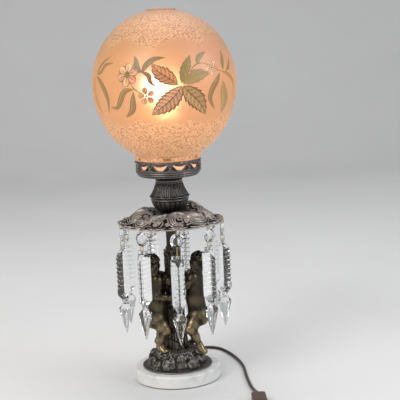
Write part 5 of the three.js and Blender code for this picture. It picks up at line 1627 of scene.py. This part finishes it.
def makeSocket(s):
    low, high = s["socket"]
    foot, wide = s["socketFoot"], s["socketRadius"]
    corners = [(bore, low), (foot, low), (foot + 1.5, low + 2.5), (wide - 2, low + 8), (wide, low + 12),
               (wide, low + 26), (wide - 0.8, low + 27.5), (wide, low + 29), (wide, high - 3),
               (wide - 0.5, high), (s["bore"], high), (s["bore"], s["floor"]), (bore, s["floor"])]
    return turnedPiece("brass_socket", rounded(corners, 1.2, 0.8), 96)


# The bulb: a screw base with a rolled thread, and a pear of frosted glass.
def makeBulb(s):
    foot, neck, middle = s["bulbFoot"], s["bulbNeck"], s["bulbMiddle"]
    a = np.linspace(-0.62, 1, 30) * pi / 2
    glass = np.stack([s["bulbRadius"] * np.cos(a), middle + s["bulbRadius"] * np.sin(a)], 1)
    thread = np.linspace(0, 1, 46)
    base = np.stack([neck - 0.45 + 0.45 * np.cos(2 * pi * 6.5 * thread), foot + 4 + 22 * thread], 1)
    cone = [(0, foot), (4, foot), (4.5, foot + 1.2), (9, foot + 3)]
    shoulder = throughPoints([(neck, foot + 27), (neck + 0.6, foot + 33), tuple(glass[0])], 8)[:-1]
    outline = np.concatenate([cone, base, shoulder, glass[:-1], [(0, middle + s["bulbRadius"])]])
    bulb = turnedPiece("frosted_bulb", outline, 72, False)
    height = readPoints(bulb.data)[:, 2] / mm
    storeValue(bulb, "lit", softStep((height - foot - 29) / 5))
    return bulb


fit(makeSocket(lightShape), "brass", "brass", "lamp_socket")
fit(makeBulb(lightShape), "bulb", "bulb_glass", "bulb", body="bulb")


# Prisms hang from the canopy's rim: a wire hook, a faceted bead, a wire link, and a bar over a spear. They
# are made once at the origin with +X outward, then turned into place.
prismShape = {
    "count": 9, "phase": 5, "reach": 91.5, "rim": 291, "ring": 3.2, "wire": 0.6, "wirePlay": 0.44,
    "hook": 2.8, "link": 7.5, "frontHook": 3.2, "frontLink": 6.0, "beadWidth": 22.6, "beadHeight": 26.7,
    "beadThickness": 8, "beadTable": 13.5, "beadEdge": 2, "hole": 1.4, "holeFlare": 2.8, "beadHole": 2.45,
    "barHole": 3.4, "barSide": 23.4, "barLength": 88, "tab": (4.4, 6), "neck": 4.3, "neckDrop": 101,
    "shoulderDrop": 114, "spear": 12, "spearBand": 1.6, "tipDrop": 160, "tip": 0.9, "notches": 8,
    "notchDepth": 1.5, "firstNotch": 15, "plainEnd": 7,
}


# A closed mesh with flat faces from a stack of outlines in mm.
def stacked(name, levels):
    return tubePiece(name, np.array(levels, float) * mm, False)


# The bead: the hull of an inner table, a turned middle ring and a thin girdle on both sides.
def makeBead(s):
    wide, thick = s["beadWidth"], s["beadThickness"]
    tall = s["beadHeight"] / wide
    outlines = ((s["beadTable"] / 2, 1.0, 8, 0.5), (wide * 0.385, 0.74, 8, 0.0),
                (wide / 2, s["beadEdge"] / thick, 16, 0.5))
    points = []
    for side in (-1, 1):
        for radius, depth, count, turn in outlines:
            a = (np.arange(count) + turn) * 2 * pi / count
            x = np.full(count, side * thick / 2 * depth)
            points.append(np.stack([x, radius * np.cos(a), radius * tall * np.sin(a)], 1))
    work = bmesh.new()
    for point in np.concatenate(points) * mm:
        work.verts.new(point)
    bmesh.ops.convex_hull(work, input=work.verts)
    bmesh.ops.dissolve_limit(work, angle_limit=0.01, verts=work.verts, edges=work.edges)
    mesh = bpy.data.meshes.new("bead")
    work.to_mesh(mesh)
    work.free()
    bead = addObject("bead", mesh)
    reach = s["beadHeight"] / 2 - s["beadHole"]
    for z in (-reach, reach):
        drill(bead, s["hole"] * 0.75, z)
    return bead


# Drills a round hole along X through a piece at a height; flare is its radius beyond half each way.
def drill(obj, radius, z, flare=None, half=0.0):
    places = [(-20, radius), (20, radius)]
    if flare:
        places = [(-20, flare), (-half, flare), (-0.3, radius), (0.3, radius), (half, flare), (20, flare)]
    side, up = circle(14).T
    carve(obj, stacked("bit", [np.stack([x + 0 * side, side * r, up * r + z], 1) for x, r in places]))


# The bar's section at a level: a triangle with cut corners, its ridge towards +X drawn in by a notch.
def barSection(s, z, scale=1.0, notch=0.0, cut=0.1):
    radius = s["barSide"] / np.sqrt(3) * scale
    points = []
    for i in range(3):
        outward, around = directions(i * 2 * pi / 3)
        corner = outward * (radius - notch * (i == 0))
        across, back = around * radius * cut, outward * radius * cut * 0.55
        points += [corner - across - back, corner, corner + across - back]
    return np.array(points) + upright * z


def makeBar(s):
    levels = [barSection(s, 0.0), barSection(s, -8.0)]
    pitch = (s["barLength"] - s["plainEnd"] - s["firstNotch"]) / s["notches"]
    for i in range(s["notches"]):
        top = -s["firstNotch"] - i * pitch
        for t in np.linspace(0, 1, 7):
            depth = s["notchDepth"] * (1 - (2 * t - 1) ** 2)
            levels.append(barSection(s, top - t * pitch * 0.8, notch=depth))
        levels.append(barSection(s, top - pitch * 0.97))
    levels.append(barSection(s, -s["barLength"]))
    # Under its notches the bar draws in to the spear's neck.
    for t, scale in ((0.25, 0.86), (0.55, 0.62), (0.85, 0.43), (1.0, 0.36)):
        levels.append(barSection(s, -s["barLength"] - t * (s["neckDrop"] - s["barLength"]), scale, 0, 0.3))
    bar = stacked("bar", levels)
    # The head is cut to a thin tab by two slanting planes, front and back.
    tabHalf, tabLength = s["tab"][0] / 2, s["tab"][1]
    for side in (-1, 1):
        wedge = [(tabHalf, 2), (tabHalf, -tabLength), (16, -tabLength - 15), (40, 2)]
        carve(bar, stacked("cutter", [[(side * x, y, z) for x, z in wedge] for y in (-20, 20)]))
    drill(bar, s["hole"], -s["barHole"], s["holeFlare"], tabHalf + 0.1)
    # The spear is eight sided, as (radius, drop) pairs.
    drop, band = s["neckDrop"], s["shoulderDrop"] - 1.5
    spear = np.array([(s["neck"], drop - 3.0), (s["neck"], drop + 2.0), (s["spear"] * 0.72, drop + 7.5),
                      (s["spear"], band), (s["spear"], band + s["spearBand"]), (s["tip"], s["tipDrop"])])
    carve(bar, stacked("spear", rings(spear[:, :1], -spear[:, 1:], turnAngles(8))), "UNION")
    return weld(bar, 2e-5)


# A wire ring pulled long: a circle in the X-Z plane whose lower part is moved down.
def wireLoop(s, z, drop):
    x, up = s["ring"] * circle(40).T
    path = np.stack([x, 0 * x, up - drop * softStep((-up / s["ring"] + 0.2) / 0.3)], 1)
    path = evenly(path, 0.55, True)
    return closedTube(path + upright * z, np.broadcast_to((0, 1.0, 0), path.shape), s["wire"])


def placed(source, name, matrix):
    obj = addObject(name, source.data.copy())
    obj.data.transform(matrix)
    return obj


def hangPrisms(s):
    bead, bar = makeBead(s), makeBar(s)
    for k in range(s["count"]):
        hook = s["hook"] + (s["frontHook"] if k == 0 else 0)
        link = s["link"] + (s["frontLink"] if k == 0 else 0)
        beadHole = s["rim"] - hook - s["ring"] + s["wirePlay"]
        beadMiddle = beadHole - s["beadHeight"] / 2 + s["beadHole"]
        linkTop = beadMiddle - s["beadHeight"] / 2 + s["beadHole"] - s["ring"] + s["wirePlay"]
        barTop = linkTop - link - s["ring"] + s["wirePlay"] + s["barHole"]
        angle = np.radians(s["phase"] + 360 / s["count"] * k - 90)
        turn = Matrix.Rotation(angle, 4, "Z") @ Matrix.Translation((s["reach"] * mm, 0, 0))
        number = str(k + 1)
        hookRing = wireLoop(s, s["rim"], hook)
        linkRing = wireLoop(s, linkTop, link)
        for name, grid, body in (("prism_hook_", hookRing, "drop_"), ("prism_link_", linkRing, "bar_")):
            ring = makePiece("wire_" + name + number, grid * mm, [gridFaces(*grid.shape[:2], wrapRows=True)])
            ring.data.transform(turn)
            fit(ring, "brass", "brass", name + number, body=body + number)
        hung = placed(bead, "glass_bead_" + number, turn @ Matrix.Translation((0, 0, beadMiddle * mm)))
        fit(hung, "glass", "cut_glass", "prism_bead_" + number, body="drop_" + number)
        hung = placed(bar, "glass_bar_" + number, turn @ Matrix.Translation((0, 0, barTop * mm)))
        fit(hung, "glass", "cut_glass", "prism_bar_" + number, body="bar_" + number)
    for source in (bead, bar):
        bpy.data.objects.remove(source)


hangPrisms(prismShape)
print("prisms hung")


# Figures: two children in bronze. Places are (towards the figure's own side, towards the back, height) as
# shares of its height over its foot, the same as in the frame.
figureShape = {
    "height": 182, "foot": 53, "bodyBlend": 4.2, "limbBlend": 1.8, "headBlend": 1.5, "joinBlend": 2.6,
    "voxel": 1.15,
    "left": {
        "head": (0.22, -0.055, 0.89), "neck": (0.19, -0.04, 0.78), "chest": (0.172, -0.035, 0.665),
        "belly": (0.18, -0.05, 0.5), "hips": (0.19, -0.035, 0.36), "seat": (0.225, -0.02, 0.315),
        "nearShoulder": (0.165, -0.115, 0.735), "nearElbow": (0.165, -0.165, 0.585),
        "nearHand": (0.03, -0.165, 0.56),
        "farShoulder": (0.155, 0.04, 0.75), "farElbow": (0.11, 0.0, 0.76), "farHand": (0.075, -0.09, 0.735),
        "nearHip": (0.18, -0.09, 0.32), "nearKnee": (0.11, -0.12, 0.22), "nearAnkle": (0.165, -0.1, 0.07),
        "nearToe": (0.12, -0.14, 0.02), "farHip": (0.18, 0.035, 0.32), "farKnee": (0.13, 0.1, 0.22),
        "farAnkle": (0.18, 0.09, 0.07), "farToe": (0.13, 0.12, 0.02), "look": (-0.72, -0.62, -0.30),
    },
    "right": {
        "head": (0.258, -0.03, 0.885), "neck": (0.228, -0.03, 0.78), "chest": (0.205, -0.03, 0.675),
        "belly": (0.2, -0.03, 0.52), "hips": (0.225, -0.03, 0.375), "seat": (0.25, -0.035, 0.325),
        "nearShoulder": (0.185, -0.1, 0.745), "nearElbow": (0.12, -0.16, 0.68),
        "nearHand": (0.045, -0.135, 0.735),
        "farShoulder": (0.18, 0.045, 0.75), "farElbow": (0.12, 0.11, 0.72), "farHand": (0.03, 0.12, 0.77),
        "nearHip": (0.2, -0.08, 0.33), "nearKnee": (0.145, -0.14, 0.23), "nearAnkle": (0.23, -0.125, 0.06),
        "nearToe": (0.27, -0.145, 0.0), "farHip": (0.2, 0.03, 0.32), "farKnee": (0.14, 0.1, 0.23),
        "farAnkle": (0.19, 0.1, 0.07), "farToe": (0.15, 0.14, 0.02), "look": (-0.80, -0.58, 0.02),
    },
}


# The body as three groups of parts, its trunk, its limbs and its head: rods with round ends (two places and
# two radii) and balls (a place, three half sizes and three axes).
def figureParts(s, side, shares):
    h = s["height"]
    at = {name: np.array([side * p[0] * h, p[1] * h, s["foot"] + p[2] * h]) for name, p in shares.items()}
    look = unit(np.array(shares["look"]) * (side, 1, 1))
    groups = [([], [], s["bodyBlend"])]
    rod = lambda a, b, ra, rb: groups[-1][0].append((a, b, ra, rb))
    ball = lambda centre, sizes, axes=np.eye(3): groups[-1][1].append((centre, np.array(sizes), axes))
    ball(at["chest"] + (0, 0, 1), (12.4, 15.4, 16.5))
    ball(at["chest"] + (0, 0, 8), (9.8, 15.0, 8))
    ball(at["belly"] - (side * 1.2, 0, 0), (13.4, 14.6, 17.5))
    ball(at["hips"], (13.6, 15.8, 13.5))
    rod(at["chest"] + (0, -3, 2), at["hips"] - (0, 3, -2), 11.2, 12.2)
    rod(at["chest"] + (0, 3, 2), at["hips"] + (0, 3, 2), 11.2, 12.2)
    for back in (-0.55, 0.55):
        ball(at["seat"] + (side * 1.6, back * 15, -1.5), (11.6, 9.8, 11.6))
    groups.append(([], [], s["limbBlend"]))
    rod(at["neck"], at["head"] - (0, 0, 6), 8.2, 7.6)
    rod(at["neck"] - (0, 0, 5), at["chest"] + (0, 0, 12), 9.4, 12)
    for which, bend in (("near", -1), ("far", 1)):
        shoulder, elbow, hand = at[which + "Shoulder"], at[which + "Elbow"], at[which + "Hand"]
        wrist = hand + unit(elbow - hand) * 6.5
        ball(shoulder, (9.2, 8.8, 9.6))
        rod(shoulder, elbow, 7.8, 6.2)
        rod(elbow, elbow * 0.45 + wrist * 0.55, 6.2, 6.0)
        rod(elbow * 0.45 + wrist * 0.55, wrist, 6.0, 4.3)
        along = unit(hand - elbow)
        flat = unit(np.cross(along, (0, 0, 1)) + 1e-6)
        up = np.cross(flat, along)
        ball(hand, (6.8, 3.4, 5.2), np.array([along, flat, up]))
        for i, fan in enumerate((-0.42, -0.14, 0.14, 0.42)):
            root = hand + along * 4.5 + up * (i - 1.5) * 2.3
            middle = root + unit(along + up * fan * 0.6) * 4.2
            rod(root, middle, 1.75, 1.6)
            curl = unit(along * 0.7 + flat * bend * side * 0.6 + up * fan * 0.5)
            rod(middle, middle + curl * 3.4, 1.6, 1.3)
        rod(hand + up * 4, hand + up * 7.5 + along * 4, 2.0, 1.5)
        hip, knee, ankle, toe = at[which + "Hip"], at[which + "Knee"], at[which + "Ankle"], at[which + "Toe"]
        rod(hip, knee * 0.6 + hip * 0.4, 12.8, 11.6)
        rod(knee * 0.6 + hip * 0.4, knee, 11.6, 8.6)
        ball(knee + unit(knee - (hip + ankle) / 2) * 1.6, (7.4, 7.4, 7.8))
        calf = knee * 0.62 + ankle * 0.38 + unit(hip - knee + 1e-6) * (1, 1, 0) * 3.2
        shin = unit(ankle - knee)
        sideways = unit(np.cross(shin, unit(toe - ankle)))
        ball(calf, (13.5, 7.6, 7.4), np.array([shin, sideways, np.cross(shin, sideways)]))
        rod(knee, ankle, 7.4, 4.7)
        heel = ankle - unit((toe - ankle) * (1, 1, 0)) * 3.6 - (0, 0, 2.5)
        ahead = unit(toe - heel)
        across = unit(np.cross(ahead, (0, 0, 1)))
        ball(heel, (5.0, 4.6, 4.6))
        rod(ankle, toe * 0.7 + heel * 0.3, 4.8, 4.0)
        for i in range(5):
            spread = (i - 2) * 2.0
            root = heel * 0.45 + toe * 0.55 + across * spread * 0.8
            tip = toe + across * spread + ahead * (3.0 - abs(i - 1) * 0.6)
            rod(root, tip, 2.7, 1.75 + 0.35 * (i == 0))
    groups.append(([], [], s["headBlend"]))
    head = at["head"]
    flat = unit(np.cross(look, (0, 0, 1)))
    crown = np.cross(flat, look)
    axes = np.array([look, flat, crown])
    ball(head + crown * 1.5, (15.6, 14.2, 16.6), axes)
    ball(head + look * 3.4 - crown * 8.2, (9.8, 9.9, 8.4), axes)
    for cheek in (-1, 1):
        ball(head + look * 9.6 + flat * cheek * 5.4 - crown * 5.8, (4.6, 4.9, 4.7), axes)
        ball(head + look * 13.2 + flat * cheek * 5.2 + crown * 2.3, (2.6, 4.0, 1.9), axes)
        ball(head + look * 0.5 + flat * cheek * 13.8 - crown * 2.2, (2.4, 1.8, 3.8), axes)
        ball(head + look * 12.6 + flat * cheek * 5.0 - crown * 1.5, (2.3, 2.9, 2.1), axes)
    ball(head + look * 12.4 - crown * 14.0, (3.3, 3.6, 2.9), axes)
    rod(head + look * 13.6 + crown * 1.0, head + look * 16.6 - crown * 4.4, 1.5, 2.2)
    ball(head + look * 14.0 - crown * 8.3, (2.1, 3.5, 1.1), axes)
    ball(head + look * 13.6 - crown * 10.4, (2.1, 3.0, 1.2), axes)
    return groups, head, axes


# Signed distance to the body's skin in mm: each rod is a line with a radius that changes along it, each ball
# a scaled sphere. The parts of a group melt together by a soft least value, and so do the groups.
def bodyDistance(points, groups, join):
    whole = np.zeros(len(points))
    for rods, balls, blend in groups:
        total = np.zeros(len(points))
        for a, b, ra, rb in rods:
            line = b - a
            t = np.clip((points - a) @ line / (line @ line), 0, 1)
            d = np.linalg.norm(points - a - t[:, None] * line, axis=1) - (ra + (rb - ra) * t)
            total += np.exp(-np.clip(d / blend, -40, 40))
        for centre, sizes, axes in balls:
            q = (points - centre) @ axes.T
            k0 = np.maximum(np.linalg.norm(q / sizes, axis=1), 1e-6)
            k1 = np.linalg.norm(q / sizes ** 2, axis=1)
            d = k0 * (k0 - 1) / np.maximum(k1, 1e-6)
            total += np.exp(-np.clip(d / blend, -40, 40))
        whole += np.exp(-np.clip(-blend * np.log(total + 1e-30) / join, -40, 40))
    return -join * np.log(whole + 1e-30)


def ballGrid(centre, sizes, axes):
    tilt = np.linspace(0.02, pi - 0.02, 14)[:, None]
    return centre + (rings(np.sin(tilt), np.cos(tilt), turnAngles(20)) * sizes) @ axes


def makeFigure(s, name, side):
    groups, head, axes = figureParts(s, side, s[name])
    items = []
    for rods, balls, blend in groups:
        more = 0.3 + 0.45 * blend
        for a, b, ra, rb in rods:
            items.append((ballGrid(a, np.full(3, ra + more), np.eye(3)), False, True))
            items.append((ballGrid(b, np.full(3, rb + more), np.eye(3)), False, True))
            line = a + np.linspace(0, 1, 5)[:, None] * (b - a)
            tube = spaceTube(line, np.linspace(ra, rb, 5) + more, 20, (0.31, 0.22, 0.93))
            items.append((tube, False, True))
        for centre, sizes, turn in balls:
            items.append((ballGrid(centre, sizes + more, turn), False, True))
    points, faceSets = joinGrids(items)
    obj = makePiece(name + "_child", points * mm, faceSets, closed=False)
    applied(obj, "REMESH", mode="VOXEL", voxel_size=s["voxel"] * mm)
    points = readPoints(obj.data) / mm
    spread = neighbourMean(obj.data)
    step = 0.05
    for turn in range(7):
        here = bodyDistance(points, groups, s["joinBlend"])
        slope = np.stack([bodyDistance(points + np.eye(3)[k] * step, groups, s["joinBlend"]) - here
                          for k in range(3)], 1) / step
        size = np.maximum((slope ** 2).sum(1), 0.2)
        points = points - slope * (np.clip(here, -1.5, 1.5) / size)[:, None]
        if turn < 5:
            points = points * 0.6 + spread(points) * 0.4
    # Curls: small domes strewn over the scalp, behind a hairline that runs over the brow and behind the ears.
    q = (points - head) @ axes.T
    writePoints(obj.data, points * mm)
    normals = readPoints(obj.data, "normal")
    hairline = softStep((q[:, 2] * 0.55 - q[:, 0] * 0.72 + 4.6) / 2.4) * softStep((q[:, 2] + 9.5) / 3)
    scalp = hairline * softStep((24 - np.linalg.norm(q, axis=1)) / 3)
    near, second, _ = strewn(q + 2.2 * softNoise(q, 9, 61)[:, None], 6.4, 63)
    curls = 1.4 + 2.6 * (0.8 - near ** 1.3) + 0.55 * np.cos(near * 15) - 1.3 * bell(second - near, 0.13)
    points = points + normals * (scalp * curls)[:, None]
    writePoints(obj.data, points * mm)
    shadeSmooth(obj)
    return obj


for figureName, figureSide, figureNode in (("left", -1, "left_putto"), ("right", 1, "right_putto")):
    child = makeFigure(figureShape, figureName, figureSide)
    fitCast(child, "figures", "figure_bronze", figureNode, 0.5, 10)
    print(figureName, "figure made:", len(child.data.polygons), "faces")


# The frame's own nut and pipe stay as they are, in procedural finishes.
for nodeName, finish in (("base_nut", "steel"), ("lamp_pipe", "brass")):
    dress(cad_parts[nodeName], finishes[finish])


# Floor, backdrop and lights
stageShape = {"width": 16.0, "front": -3.5, "back": 2.6, "bend": 1.2, "wall": 3.5}


# The floor runs back to a quarter bend and up into a wall, one sheet.
def makeStage(s):
    a = np.linspace(0, pi / 2, 24)
    y = np.concatenate([[s["front"], -0.5, 0.5], s["back"] + s["bend"] * np.sin(a), [s["back"] + s["bend"]]])
    z = np.concatenate([[0, 0, 0], s["bend"] * (1 - np.cos(a)), [s["wall"]]])
    x = np.array([-1, -0.3, 0.3, 1]) * s["width"] / 2
    grid = np.stack(np.broadcast_arrays(x[None, :], y[:, None], z[:, None]), -1)
    stage = makePiece("studio_floor", grid, [gridFaces(*grid.shape[:2], wrapColumns=False)], closed=False)
    material, tree, surface = newMaterial("pale studio sheet", Roughness=0.75)
    cloud = noiseOf(tree, objectPlace(tree), 3, 3)
    tone = mottled(tree, cloud, 0.3, 0.7, (0.66, 0.655, 0.65), (0.69, 0.685, 0.68))
    setSurface(tree, surface, Base_Color=tone)
    stage.data.materials.append(material)
    return stage


makeStage(stageShape)

lamps = [
    {"name": "key", "place": (-1.5, -1.7, 2.1), "aim": (0, 0, 0.3), "size": 1.5, "power": 46,
     "tone": (1, 0.97, 0.93)},
    {"name": "side", "place": (2.1, -0.9, 1.4), "aim": (0, 0, 0.3), "size": 1.3, "power": 22,
     "tone": (0.90, 0.95, 1)},
    {"name": "top", "place": (0.1, 0.5, 2.6), "aim": (0, 0, 0.2), "size": 1.6, "power": 26,
     "tone": (1, 1, 1)},
]


def makeLamp(s):
    data = bpy.data.lights.new(s["name"], "AREA")
    data.size = s["size"]
    data.energy = s["power"]
    data.color = s["tone"]
    back = unit(np.subtract(s["place"], s["aim"]))
    right = unit(np.cross(upright, back))
    putAt(s["name"], data, s["place"], (right, np.cross(back, right), back))


for lampSettings in lamps:
    makeLamp(lampSettings)
world = bpy.data.worlds.new("studio")
bpy.context.scene.world = world
world.use_nodes = True
background = world.node_tree.nodes["Background"]
background.inputs["Color"].default_value = (0.80, 0.82, 0.85, 1)
background.inputs["Strength"].default_value = 0.55
bpy.context.scene.view_settings.view_transform = "Standard"

print("scene finished")
